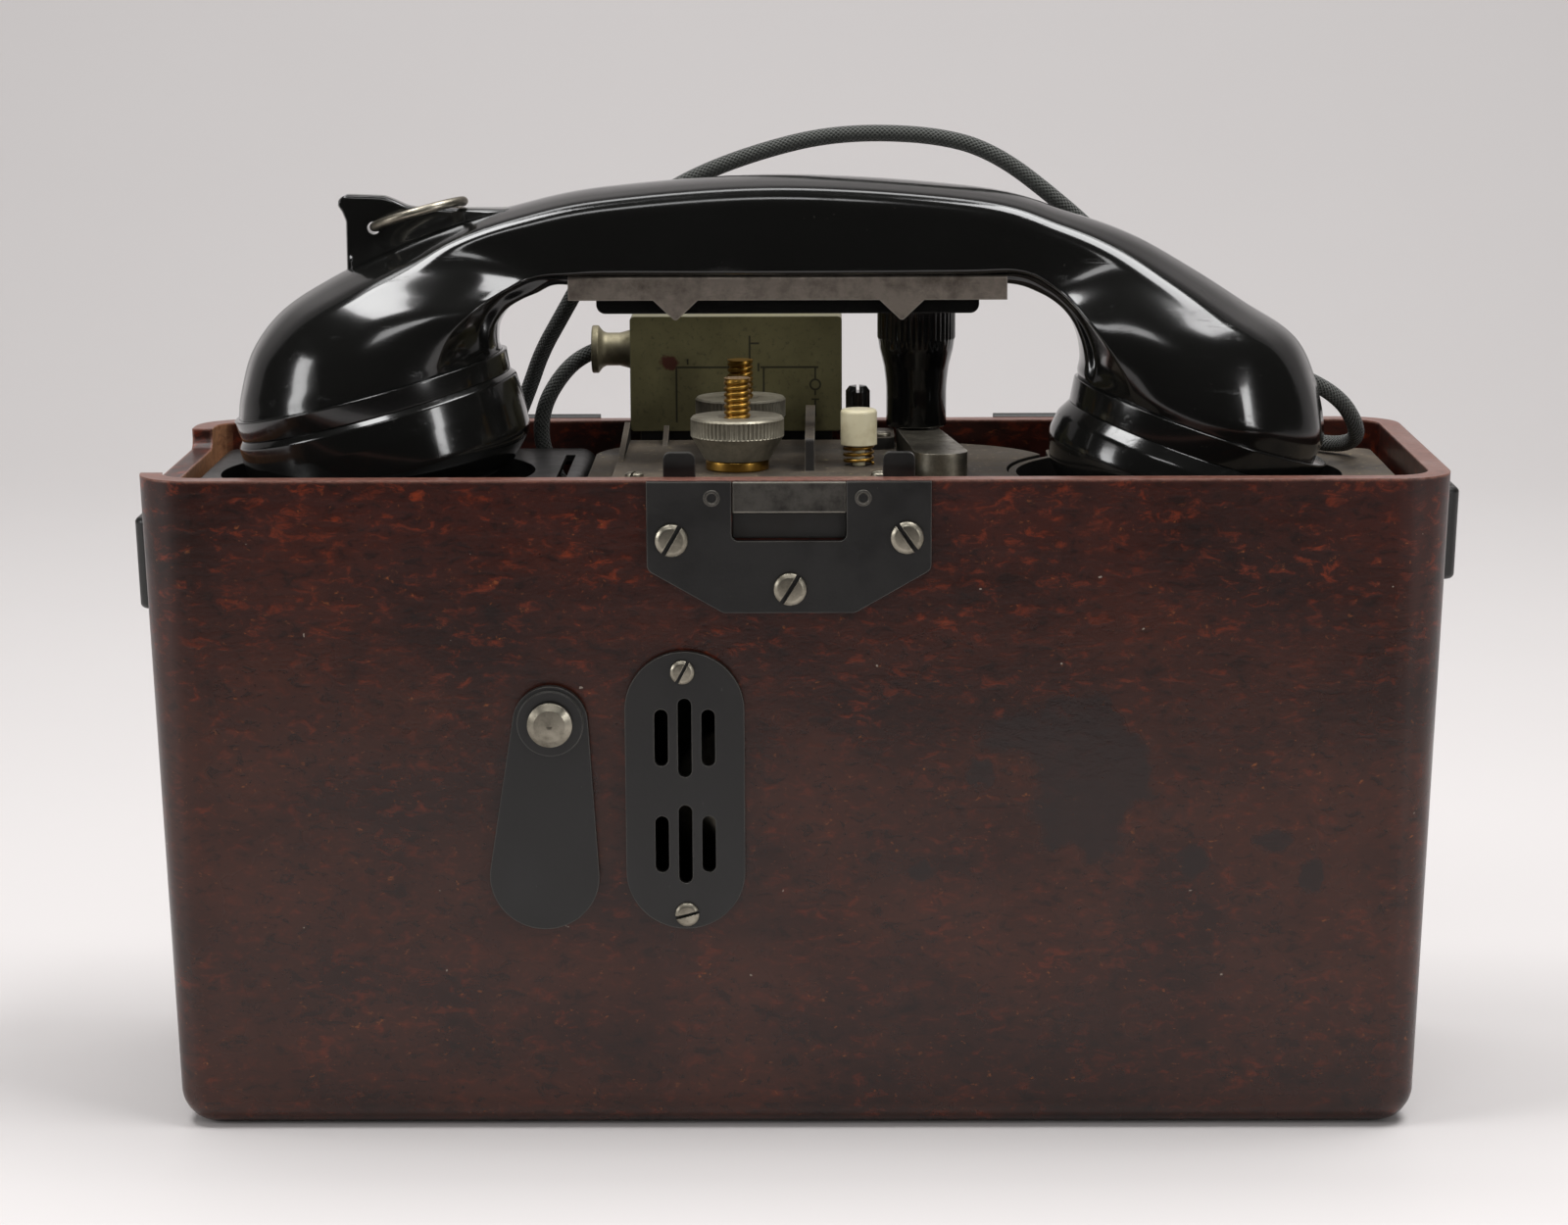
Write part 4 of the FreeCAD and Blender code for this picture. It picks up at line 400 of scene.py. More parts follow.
def make_finishes():
    """Every finish of the telephone, by the record's slot name."""
    return {
        "bakelite_case": mottled_case_finish(),
        "handset_bakelite": polished_black_finish(),
        # Satin stove enamel on sheet steel: nearly black, with edges rubbed to a warm grey
        "black_steel": enamel_finish("black enamel", "0E0D0C", "1A1815", 0.4),
        # Steel that the lid's catch has rubbed: dull, with pale edges
        "rubbed_steel": metal_finish("rubbed slide steel", "55524D", "1D1B19", 0.4, 0.9, (0.3, 1, 1),
                                     0.7,
                                     "A8A398"),
        # Painted shade in the catch's window: a near-black sheet below the slide, matt, without a glint
        "dark_recess": enamel_finish("painted recess shade", "0B0906", "1C150D", 0.75, 0.1),
        "olive_paint": painted_box_finish(),
        "deck_moulding": dusty_moulding_finish(),
        # Turned brass gone brown in its grooves; the gland is paler and duller
        "brass": metal_finish("tarnished brass", "B98E42", "54421E", 0.3, 0.6),
        "gland_brass": metal_finish("aged pale brass", "87806A", "57513A", 0.52, 0.7, (1, 1, 1), 0.8),
        # Worn plating: yellowish nickel on screws and ring, zinc grey on nuts, crank and talk bar
        "nickel": metal_finish("worn nickel", "9E988A", "4E483C", 0.34, 0.7, (1, 0.3, 1)),
        "grey_plated": metal_finish("grey plating", "9A9484", "4E483C", 0.45, 0.6, (1, 1, 0.2), 0.75),
        # The talk bar: rubbed brown plating whose pale edges are partly rubbed metal and partly a
        # painted highlight.
        "worn_and_highlit_bar": metal_finish("rubbed brown plating with painted edge highlight", "91877D", "463E37", 0.45, 0.8, (0.3, 1, 1), 0.8,
                                 "B4AEA4"),
        # Cast resin that has yellowed unevenly
        "ivory_plastic": plain_plastic_finish("aged ivory", "D8CFAE", "9A8450"),
        "braided_cotton": braid_finish(),
        # Inside the case, seen only through the crank hole and between the pieces
        "chassis_zinc": metal_finish("dull zinc", "8D8C86", "4A4842", 0.42, 0.5),
        "cast_frame": metal_finish("grey casting", "5A5955", "2C2B28", 0.6, 0.5, (1, 1, 1), 0.5),
        "magnet_steel": enamel_finish("lacquered magnet", "20201F", "2B2A28", 0.4),
        "bare_steel": metal_finish("bright steel", "A7A6A0", "5A5853", 0.28, 0.4),
        "coil_winding": plain_plastic_finish("lacquered winding", "5A2A16", "2A120A", 0.4, 0.6),
        "cell_jacket": plain_plastic_finish("waxed card", "6E5C3A", "3A2E1C", 0.6, 0.5),
    }


FINISHES = {}


def finish_of(slot):
    if not FINISHES:
        FINISHES.update(make_finishes())
    return FINISHES[slot]


# Mesh helpers


def new_object(name, mesh, slot, finish=""):
    """A piece of a slot, in that slot's finish or in another; its place is in its mesh."""
    mesh.polygons.foreach_set("use_smooth", [True] * len(mesh.polygons))
    piece = bpy.data.objects.new(name, mesh)
    bpy.context.scene.collection.objects.link(piece)
    mesh.materials.clear()
    mesh.materials.append(finish_of(finish or slot))
    return piece


def mesh_from(name, points, faces):
    mesh = bpy.data.meshes.new(name)
    mesh.from_pydata([tuple(p) for p in points], [], faces)
    mesh.update()
    return mesh


def outward(mesh):
    """Turn every face of a closed mesh outwards."""
    build = bmesh.new()
    build.from_mesh(mesh)
    bmesh.ops.recalc_face_normals(build, faces=build.faces)
    build.to_mesh(mesh)
    build.free()
    return mesh


def slab(name, x, y, z, place, chamfer=0.18):
    """A flat closed plate with broken edges, its ranges in millimetres."""
    build = bmesh.new()
    bmesh.ops.create_cube(build, size=1.0)
    for corner in build.verts:
        spot = [pair[1] if value > 0 else pair[0] for pair, value in zip((x, y, z), corner.co)]
        corner.co = place @ (Vector(spot) * MM)
    bmesh.ops.bevel(build, geom=build.edges, offset=chamfer * MM, segments=2, affect="EDGES")
    bmesh.ops.recalc_face_normals(build, faces=build.faces)
    mesh = bpy.data.meshes.new(name)
    build.to_mesh(mesh)
    build.free()
    return mesh


def sharpen(piece, degrees):
    """Keep edges crisp where two faces meet at more than an angle."""
    piece.data.set_sharp_from_angle(angle=math.radians(degrees))
    return piece


def rounded_profile(profile, steps=5):
    """A half profile whose points with a third value are rounded by that radius."""
    made = []
    for index, point in enumerate(profile):
        here = Vector(point[:2])
        if len(point) == 2 or index in (0, len(profile) - 1):
            made.append(here)
            continue
        back = Vector(profile[index - 1][:2]) - here
        ahead = Vector(profile[index + 1][:2]) - here
        half = back.angle(ahead) / 2
        reach = min(point[2] / math.tan(half), 0.49 * back.length, 0.49 * ahead.length)
        start, end = here + back.normalized() * reach, here + ahead.normalized() * reach
        for step in range(steps + 1):
            share = step / steps
            made.append(start * (1 - share) ** 2 + here * 2 * share * (1 - share) + end * share ** 2)
    return made


def lathe(name, profile, segments, place, ripple=None):
    """A turned closed mesh; ripple changes the radius by angle and height, as flutes do."""
    points, faces = [], []
    rows = []
    for radius, height in profile:
        if radius < 1e-7:
            points.append(place @ Vector((0, 0, height)))
            rows.append([len(points) - 1])
            continue
        row = []
        for step in range(segments):
            angle = 2 * math.pi * step / segments
            reach = radius + (ripple(angle, radius, height) if ripple else 0.0)
            points.append(place @ Vector((reach * math.cos(angle), reach * math.sin(angle), height)))
            row.append(len(points) - 1)
        rows.append(row)
    closed = len(rows[0]) > 1
    pairs = list(zip(rows, rows[1:])) + ([(rows[-1], rows[0])] if closed else [])
    for lower, upper in pairs:
        for step in range(segments):
            after = (step + 1) % segments
            ring = [lower[step % len(lower)], lower[after % len(lower)],
                    upper[after % len(upper)], upper[step % len(upper)]]
            face = [v for i, v in enumerate(ring) if v not in ring[:i]]
            if len(face) > 2:
                faces.append(face)
    return outward(mesh_from(name, points, faces))


def turned(name, profile, place, slot, body, node, segments=72, sharp=35, steps=5, ripple=None):
    """A turned piece from a half profile in millimetres, on its body and in place of a node."""
    shape = rounded_profile([tuple(value * MM for value in point) for point in profile], steps)
    piece = new_object(name, lathe(name, shape, segments, place, ripple), slot)
    sharpen(piece, sharp)
    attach(piece, body)
    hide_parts(node)


def tube(name, path, radius, segments=12):
    """A round tube along a fine path, with its own map: girth across, length along."""
    points, faces, loops = [], [], []
    side = None
    travelled = 0.0
    lengths = []
    for index, point in enumerate(path):
        way = (path[min(index + 1, len(path) - 1)] - path[max(index - 1, 0)]).normalized()
        if side is None:
            side = way.orthogonal().normalized()
        side = (side - way * side.dot(way)).normalized()
        other = way.cross(side)
        if index:
            travelled += (point - path[index - 1]).length
        lengths.append(travelled)
        for step in range(segments):
            angle = 2 * math.pi * step / segments
            points.append(point + (side * math.cos(angle) + other * math.sin(angle)) * radius)
    for index in range(len(path) - 1):
        for step in range(segments):
            after = (step + 1) % segments
            low, high = index * segments, (index + 1) * segments
            faces.append([low + step, low + after, high + after, high + step])
            u0, u1 = step / segments, (step + 1) / segments
            girth = 2 * math.pi * radius
            v0, v1 = lengths[index] / girth, lengths[index + 1] / girth
            loops += [(u0, v0), (u1, v0), (u1, v1), (u0, v1)]
    last = (len(path) - 1) * segments
    faces.append(list(range(segments))[::-1])
    loops += [(0.5, 0.0)] * segments
    faces.append([last + step for step in range(segments)])
    loops += [(0.5, 0.0)] * segments
    mesh = mesh_from(name, points, faces)
    layer = mesh.uv_layers.new(name="girth and length")
    for index, value in enumerate(loops):
        layer.data[index].uv = value
    return mesh


def upright(x, y, z):
    return Matrix.Translation(Vector((x, y, z)) * MM)


# Settings


class HandsetSettings(bpy.types.PropertyGroup):
    grip_width: FloatProperty(name="Grip width", description="Width of the handset's grip",
                              default=0.026, unit="LENGTH")
    receiver_radius: FloatProperty(name="Receiver radius", description="Radius at the receiver's seam",
                                   default=0.0302, unit="LENGTH")
    transmitter_radius: FloatProperty(name="Mouthpiece radius",
                                      description="Radius at the mouthpiece's seam",
                                      default=0.0294, unit="LENGTH")
    fin_thickness: FloatProperty(name="Fin thickness", description="Thickness of the hanging fin",
                                 default=0.005, unit="LENGTH")


class CordSettings(bpy.types.PropertyGroup):
    diameter: FloatProperty(name="Diameter", description="Outside diameter of the braid",
                            default=0.0037, unit="LENGTH")
    segments: IntProperty(name="Segments", description="Faces round the cord", default=20)


class TerminalSettings(bpy.types.PropertyGroup):
    thread_pitch: FloatProperty(name="Thread pitch", description="Pitch of the line posts",
                                default=0.0013, unit="LENGTH")
    knurls: IntProperty(name="Knurls", description="Ridges round a nut", default=64)


class StageSettings(bpy.types.PropertyGroup):
    floor_colour: FloatVectorProperty(name="Floor", description="Colour of the floor and backdrop",
                                      subtype="COLOR", size=4, default=srgb("D2CECD"))
    lamp_power: FloatProperty(name="Lamp power", description="Power of the main lamp",
                              default=4.7, unit="POWER")


class TelephoneSettings(bpy.types.PropertyGroup):
    handset: PointerProperty(name="Handset", description="Sizes of the handset", type=HandsetSettings)
    cord: PointerProperty(name="Cord", description="Sizes of the cord", type=CordSettings)
    terminals: PointerProperty(name="Terminals", description="Sizes of the line terminals",
                               type=TerminalSettings)
    stage: PointerProperty(name="Stage", description="Floor and lamps", type=StageSettings)


# Handset


RECEIVER_SEAM = (-93.95, 157.7, 14.57)
TRANSMITTER_SEAM = (89.65, 149.35, -19.17)
TALK_LEVEL = 180.1


def seam_point(seam, radial, down=0.0):
    """A point in millimetres from a tilted seam's centre: along the seam, then away from it."""
    x, z, tilt = seam
    angle = math.radians(tilt)
    return (x + radial * math.cos(angle) + down * math.sin(angle),
            z + radial * math.sin(angle) - down * math.cos(angle))


def hang_matrix(seam):
    """Turned pieces of the handset hang from their seam, with +Z away from it."""
    x, z, tilt = seam
    turn = Matrix.Rotation(math.radians(-tilt), 4, "Y") @ Matrix.Rotation(math.pi, 4, "X")
    return upright(x, 0, z) @ turn


def handset_sections(settings):
    """The moulding's sections, in millimetres.

    Each row holds the back and the inside point, the widest half width, the half width and the
    drop of the back's crease, the crease's rounding, the height and half width of the rib along
    the inside, and how round the section is.
    """
    receiver = settings.receiver_radius / MM
    transmitter = settings.transmitter_radius / MM
    grip = settings.grip_width / MM / 2
    level = TALK_LEVEL
    rows = [
        (*seam_point(RECEIVER_SEAM, -receiver), *seam_point(RECEIVER_SEAM, receiver),
         receiver, 23, 12, 12, 7.5, 10.5, 1.0),
        (-122.4, 156.2, -65.4, 167.0, receiver * 0.985, 23, 11, 11, 7.6, 10, 0.86),
        (-119.6, 165.6, -65.0, 171.0, receiver * 0.94, 22.5, 9.6, 8, 6.8, 9.5, 0.62),
        (-113.0, 174.2, -62.8, 174.6, receiver * 0.86, 21.2, 8.8, 5.5, 6.2, 9, 0.36),
        (-102.5, 181.0, -59.6, 176.8, receiver * 0.75, 19.2, 8.2, 4.2, 6.4, 9, 0.18),
        (-90.5, 186.8, -56.2, 178.3, receiver * 0.63, 16.6, 7.2, 3.2, 6.2, 9, 0.06),
        (-77.5, 192.0, -52.4, level, grip + 2.0, 14.4, 4.2, 3.0, 4.8, 9.5, 0.0),
        (-61.5, 196.9, -46.8, level, grip + 0.7, 13.5, 2.8, 3.4, 3.4, 10.5, 0),
        (-41.0, 201.0, -36.0, level, grip, 12.9, 2.6, 3.6, 2.8, 10.5, 0),
        (-2.3, 203.5, -2.0, level, grip, 12.9, 2.6, 3.6, 2.6, 10.5, 0),
        (40.7, 200.6, 36.5, level, grip, 12.9, 2.8, 3.6, 2.8, 10.5, 0),
        (60.0, 195.3, 47.3, level, grip + 0.7, 13.5, 3.4, 3.8, 3.6, 10, 0),
        (74.6, 190.0, 53.5, 178.0, grip + 2.6, 15.0, 5.0, 3.8, 3.4, 9, 0),
        (87.6, 182.7, 57.8, 175.2, transmitter * 0.68, 17.6, 6.2, 3.6, 3.0, 8.5, 0.03),
        (99.6, 175.0, 60.6, 171.8, transmitter * 0.80, 20.2, 8.0, 4.2, 3.0, 8.5, 0.12),
        (110.2, 167.8, 62.3, 167.6, transmitter * 0.89, 22.2, 9.6, 5.5, 3.6, 9, 0.3),
        (115.0, 157.8, 62.9, 163.2, transmitter * 0.955, 23.0, 10.8, 8, 5.0, 9.5, 0.58),
        (116.9, 146.6, 62.4, 160.3, transmitter * 0.985, 23.0, 11.2, 10, 7.0, 10, 0.85),
        (*seam_point(TRANSMITTER_SEAM, transmitter - 2.6),
         *seam_point(TRANSMITTER_SEAM, 0.8 - transmitter),
         transmitter - 0.9, 22.0, 11, 10, 7.5, 10, 1.0),
    ]
    return rows


def section_outline(back, inside, wide, crease, drop, soften, rib, rib_half, roundness):
    """One closed section: crown, creases, flat sides and a narrower rib along the inside."""
    depth = (back - inside).length
    corners = [(0, -0.32 * drop, 99), (crease, drop, soften), (wide, 0.56 * depth, 99),
               (wide * 0.985, depth - rib, 0.9), (rib_half, depth - rib + 0.5, 1.2),
               (rib_half - 0.2, depth, 1.8), (0, depth, 3)]
    corners += [(-a, d, r) for a, d, r in reversed(corners[1:-1])]
    steps = (3, 9, 7, 5, 4, 5, 2, 5, 4, 5, 7, 9)
    outline = []
    for index, (across, down, radius) in enumerate(corners):
        here = Vector((across, down))
        before = Vector(corners[index - 1][:2]) - here
        after = Vector(corners[(index + 1) % len(corners)][:2]) - here
        start = here + before.normalized() * min(radius, 0.49 * before.length)
        end = here + after.normalized() * min(radius, 0.49 * after.length)
        for step in range(steps[index] + 1):
            share = step / steps[index]
            outline.append(start * (1 - share) ** 2 + here * 2 * share * (1 - share) + end * share ** 2)
        following = corners[(index + 1) % len(corners)]
        reach = min(following[2], 0.49 * after.length)
        stop = Vector(following[:2]) - after.normalized() * reach
        outline += [end.lerp(stop, share) for share in (0.33, 0.67)]
    centre, up = (back + inside) / 2, (back - inside) / depth
    points = []
    for spot in outline:
        across, rise = spot.x, depth / 2 - spot.y
        ratio = math.hypot(across / wide, rise / (depth / 2))
        share = 1 - roundness + roundness / ratio
        points.append(centre + Vector((0, across * share, 0)) + up * rise * share)
    return points


def smooth_between(values, position):
    """A smooth curve through a list of numbers, read at a fractional index."""
    last = len(values) - 1
    index = min(int(position), last - 1)
    share = position - index
    a, b, c, d = (values[max(0, min(last, index + k))] for k in (-1, 0, 1, 2))
    if index == 0:
        a = 2 * b - c
    if index == last - 1:
        d = 2 * c - b
    return 0.5 * (2 * b + (c - a) * share + (2 * a - 5 * b + 4 * c - d) * share ** 2
                  + (3 * b - a - 3 * c + d) * share ** 3)


def handset_mesh(settings, between=10):
    """The moulding as a fine skin through its sections."""
    columns = list(zip(*handset_sections(settings)))
    count = (len(columns[0]) - 1) * between + 1
    points, faces = [], []
    for row in range(count):
        values = [smooth_between(column, row / between) for column in columns]
        back, inside = Vector((values[0], 0, values[1])), Vector((values[2], 0, values[3]))
        outline = section_outline(back, inside, *values[4:])
        points += [place * MM for place in outline]
    around = len(outline)
    for row in range(count - 1):
        for step in range(around):
            after = (step + 1) % around
            low, high = row * around, (row + 1) * around
            faces.append([low + step, high + step, high + after, low + after])
    faces.append(list(range(around)))
    last = (count - 1) * around
    faces.append([last + step for step in range(around)][::-1])
    return outward(mesh_from("handset_skin", points, faces))


def skin_back(x):
    """Height of the moulding's back over a place along the handset."""
    line = [(-122, 156), (-119.6, 165.6), (-113, 174.2), (-102.5, 181), (-90.5, 186.8),
            (-77.5, 192), (-61.5, 196.9), (-41, 201)]
    for (x0, z0), (x1, z1) in zip(line, line[1:]):
        if x <= x1:
            return z0 + (z1 - z0) * (x - x0) / (x1 - x0)
    return line[-1][1]


def fin_mesh(half, columns=48, rows=40):
    """The hanging fin: an upright plate that flares into the back of the receiver."""
    edge = [(178.0, -98.4), (193.6, -98.4), (195.6, -99.2), (197.0, -100.1), (198.2, -100.0),
            (199.0, -99.3), (199.4, -98.2)]
    crest = [(-98.2, 199.4), (-93, 199.25), (-89.2, 199.1), (-86.6, 198.3), (-83.6, 196.9),
             (-81.0, 196.5), (-72, 196.4), (-64, 196.3), (-58, 196.6)]

    def along(table, value):
        for (a, va), (b, vb) in zip(table, table[1:]):
            if value <= b:
                return va + (vb - va) * max(0.0, value - a) / (b - a)
        return table[-1][1]

    grid = {}
    points, faces = [], []
    for column in range(columns + 1):
        across = (column / columns) ** 1.25
        for row in range(rows + 1):
            climb = 1 - (1 - row / rows) ** 1.2
            x_top = -98.2 + 40.2 * across
            z_top = along(crest, x_top)
            z_low = skin_back(x_top) - 5
            z = z_low + (z_top - z_low) * climb
            left = along(edge, z)
            x = left + (-58 - left) * across
            above = z - skin_back(x)
            flare = max(0.0, 1 - max(above, 0.0) / 5.0) ** 2 if x > -97.5 else 0.0
            near_rim = min((z_top - z) / 0.8, (x - left) / 0.8)
            soft = math.sqrt(max(0.0, 1 - (1 - min(1.0, max(0.0, near_rim))) ** 2))
            thick = (half - 0.8 + 0.8 * soft) + 1.6 * flare
            grid[column, row] = (x, z, thick)
    for side in (-1, 1):
        for column in range(columns + 1):
            for row in range(rows + 1):
                x, z, thick = grid[column, row]
                points.append(Vector((x, side * thick, z)) * MM)
    size = (columns + 1) * (rows + 1)

    def at(side, column, row):
        return side * size + column * (rows + 1) + row

    for column in range(columns):
        for row in range(rows):
            quad = [(column, row), (column + 1, row), (column + 1, row + 1), (column, row + 1)]
            faces.append([at(0, *spot) for spot in quad])
            faces.append([at(1, *spot) for spot in reversed(quad)])
    rim = ([(c, 0) for c in range(columns)] + [(columns, r) for r in range(rows)]
           + [(c, rows) for c in range(columns, 0, -1)] + [(0, r) for r in range(rows, 0, -1)])
    for first, second in zip(rim, rim[1:] + rim[:1]):
        faces.append([at(0, *first), at(1, *first), at(1, *second), at(0, *second)])
    return outward(mesh_from("handset_fin", points, faces))


RING_EYE = (-92.3, 0, 192.2)


class MakeHandset(bpy.types.Operator):
    """The handset's moulding with its hanging fin, ring and caps"""
    bl_idname = "telephone.handset"
    bl_label = "Handset"

    def execute(self, context):
        settings = context.scene.telephone.handset
        skin = new_object("handset_moulding", handset_mesh(settings), "handset_bakelite")
        sharpen(skin, 50)
        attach(skin, "handset")
        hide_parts("handset_body")

        fin = new_object("handset_fin", fin_mesh(settings.fin_thickness / MM / 2),
                         "handset_bakelite")
        eye = lathe("fin_eye", [(0, -0.006), (0.0014, -0.006), (0.0014, 0.006), (0, 0.006)], 32,
                    upright(*RING_EYE) @ Matrix.Rotation(math.pi / 2, 4, "X"))
        cutter = bpy.data.objects.new("fin_eye", eye)
        context.scene.collection.objects.link(cutter)
        drill = fin.modifiers.new("eye", "BOOLEAN")
        drill.object = cutter
        drill.solver = "EXACT"
        context.view_layer.update()
        drilled = bpy.data.meshes.new_from_object(
            fin.evaluated_get(context.evaluated_depsgraph_get()))
        fin.modifiers.remove(drill)
        fin.data = drilled
        bpy.data.objects.remove(cutter)
        sharpen(fin, 40)
        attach(fin, "handset")

        near, far, rim = 4.7, 25.7, 31.9
        self.cap("receiver_ring", "receiver_collar", RECEIVER_SEAM,
                 [(0, 0), (31.2, 0, 0.35), (30.7, near, 0.3), (0, near)])
        self.cap("receiver_earpiece", "receiver_cap", RECEIVER_SEAM,
                 [(0, near), (rim - 1.3, near, 0.3), (rim - 0.2, near + 1.2, 0.9), (rim, near + 6, 8),
                  (rim - 0.2, far - 7, 6), (rim * 0.8, far - 0.6, 5), (rim * 0.58, far, 2),
                  (rim * 0.4, far - 2.6, 6), (0, far - 4)])

        near, far, rim = 5.6, 24.6, 30.9
        self.cap("mouthpiece_ring", "transmitter_collar", TRANSMITTER_SEAM,
                 [(0, 0), (29.5, 0, 0.35), (28.7, near, 0.3), (0, near)])
        self.cap("mouthpiece", "transmitter_cap", TRANSMITTER_SEAM,
                 [(0, near), (rim - 2.2, near, 0.4), (rim - 0.6, near + 3, 3), (rim, near + 8, 7),
                  (rim - 3, near + 15, 9), (rim * 0.7, far, 3), (rim * 0.45, far - 1.8, 4),
                  (0, far - 2.4)])

        self.ring(context)
        return {"FINISHED"}

    def cap(self, name, node, seam, profile):
        turned(name, profile, hang_matrix(seam), "handset_bakelite", "handset", node,
               segments=128, sharp=30, steps=8)

    def ring(self, context):
        size, wire = 10.2, 1.02 * MM
        turn = Matrix.Rotation(math.radians(-16.2), 4, "Y") @ Matrix.Rotation(math.radians(-6), 4, "X")
        place = upright(*RING_EYE) @ turn @ upright(size, 0, 0)
        count, segments = 96, 16
        points, faces = [], []
        for index in range(count):
            swing = 2 * math.pi * index / count
            for step in range(segments):
                angle = 2 * math.pi * step / segments
                reach = size * MM + wire * math.cos(angle)
                points.append(place @ Vector((reach * math.cos(swing), reach * math.sin(swing),
                                              wire * math.sin(angle))))
        for index in range(count):
            after = (index + 1) % count
            for step in range(segments):
                beside = (step + 1) % segments
                faces.append([index * segments + step, index * segments + beside,
                              after * segments + beside, after * segments + step])
        mesh = outward(mesh_from("ring", points, faces))
        piece = new_object("carrying_ring", mesh, "nickel")
        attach(piece, "hanging_ring")
        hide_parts("hanging_ring")


# Cord


CORD_ROUTE = [
    (111.0, 5.0, 158.5), (120.5, 8.6, 154.5), (127.2, 15.5, 144.5), (125.8, 25.5, 139.7),
    (116.5, 34.5, 139.6), (107.0, 40.0, 146.0), (100.5, 38.5, 156.0), (93.0, 33.5, 166.5),
    (83.0, 27.0, 175.0), (71.5, 20.6, 184.6), (60.0, 16.4, 195.4), (44.3, 15.8, 207.5),
    (30.0, 16.0, 211.3), (9.0, 16.0, 211.6), (-9.0, 16.0, 207.3), (-25.0, 16.2, 201.0),
    (-37.5, 17.5, 192.5), (-47.0, 21.0, 180.5), (-53.0, 25.5, 170.0), (-58.2, 31.5, 161.0),
    (-61.5, 37.0, 152.0), (-66.0, 40.4, 141.5), (-71.0, 41.4, 130.5), (-73.5, 41.4, 118.5),
    (-70.5, 41.4, 107.5), (-62.5, 41.4, 100.8), (-53.0, 41.4, 101.5), (-47.5, 41.4, 109.0),
    (-48.5, 41.4, 119.0), (-54.5, 41.4, 128.5), (-59.5, 41.3, 138.0), (-58.8, 40.3, 147.0),
    (-54.5, 39.0, 154.5), (-49.5, 38.2, 159.3), (-45.5, 38.0, 160.7),
]


def curve_points(route, resolution=14):
    """Points read off a smooth curve that is steered by the route."""
    data = bpy.data.curves.new("route", "CURVE")
    data.dimensions = "3D"
    data.resolution_u = resolution
    spline = data.splines.new("NURBS")
    spline.points.add(len(route) - 1)
    for point, place in zip(spline.points, route):
        point.co = (*(Vector(place) * MM), 1.0)
    spline.order_u = 3
    spline.use_endpoint_u = True
    holder = bpy.data.objects.new("route", data)
    bpy.context.scene.collection.objects.link(holder)
    bpy.context.view_layer.update()
    mesh = bpy.data.meshes.new_from_object(holder.evaluated_get(bpy.context.evaluated_depsgraph_get()))
    points = [v.co.copy() for v in mesh.vertices]
    bpy.data.objects.remove(holder)
    return points


class MakeCord(bpy.types.Operator):
    """The braided cord from the handset to the painted box"""
    bl_idname = "telephone.cord"
    bl_label = "Cord"

    def execute(self, context):
        settings = context.scene.telephone.cord
        path = curve_points(CORD_ROUTE)
        length = sum((b - a).length for a, b in zip(path, path[1:]))
        mesh = tube("handset_lead", path, settings.diameter / 2, settings.segments)
        piece = new_object("handset_lead", mesh, "braided_cotton")
        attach(piece, "case")
        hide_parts("handset_cord")
        tuple(path[0])
        [tuple(p) for p in path]
        return {"FINISHED"}


# Terminals, button and grip


def thread_mesh(name, radius, depth, pitch, low, high, place, around=40):
    """A screwed rod: a fine grid whose depth follows the thread's helix."""
    rows = int((high - low) / pitch * 10)
    points, faces = [], []
    for row in range(rows + 1):
        height = low + (high - low) * row / rows
        fade = min(1.0, (high - height) / (0.5 * pitch), (height - low) / (0.5 * pitch))
        for step in range(around):
            angle = 2 * math.pi * step / around
            phase = (height / pitch - step / around) % 1.0
            groove = abs(phase * 2 - 1)
            reach = radius - depth * (1 - min(1.0, groove * 1.6)) * max(fade, 0.0)
            points.append(place @ Vector((reach * math.cos(angle), reach * math.sin(angle), height)))
    points += [place @ Vector((0, 0, low)), place @ Vector((0, 0, high))]
    for row in range(rows):
        for step in range(around):
            after = (step + 1) % around
            faces.append([row * around + step, row * around + after,
                          (row + 1) * around + after, (row + 1) * around + step])
    bottom, top = len(points) - 2, len(points) - 1
    for step in range(around):
        after = (step + 1) % around
        faces.append([bottom, after, step])
        faces.append([top, rows * around + step, rows * around + after])
    return mesh_from(name, points, faces)


class MakeTerminals(bpy.types.Operator):
    """Screwed line posts, their clamp collars and knurled nuts"""
    bl_idname = "telephone.terminals"
    bl_label = "Line terminals"

    def execute(self, context):
        settings = context.scene.telephone.terminals
        for label, y in (("front", -15.0), ("rear", 19.0)):
            place = upright(-12.5, y, 140.6)
            post = new_object("threaded_post_" + label,
                              thread_mesh("threaded_post", 2.9 * MM, 0.55 * MM, settings.thread_pitch,
                                          0.0, 19.9 * MM, place), "brass")
            sharpen(post, 60)
            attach(post, "case")
            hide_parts("line_post_" + label)
            turned("clamp_collar_" + label, [(2.95, 0), (6.9, 0, 0.3), (6.9, 2.2, 0.5), (2.95, 2.2)],
                   place, "brass", label + "_clamp", "line_clamp_" + label)
            self.nut(settings.knurls, label, place @ upright(0, 0, 2.2))
        return {"FINISHED"}

    def nut(self, teeth, label, place):
        profile = [(2.95, 0), (7.2, 0, 0.4), (8.0, 1.5), (9.95, 4.8, 0.4), (10.2, 5.1),
                   (10.2, 5.3), (10.2, 8.5), (10.2, 8.8), (9.8, 9.3, 0.2), (4.35, 9.3, 0.3),
                   (2.95, 8.7)]

        def knurl(angle, radius, height):
            inside = 5.2 * MM < height < 8.7 * MM and radius > 9.9 * MM
            return -0.28 * MM * (0.5 - 0.5 * math.cos(angle * teeth)) if inside else 0.0

        turned("knurled_nut_" + label, profile, place, "grey_plated", label + "_nut",
               "line_nut_" + label, segments=teeth * 6, ripple=knurl)


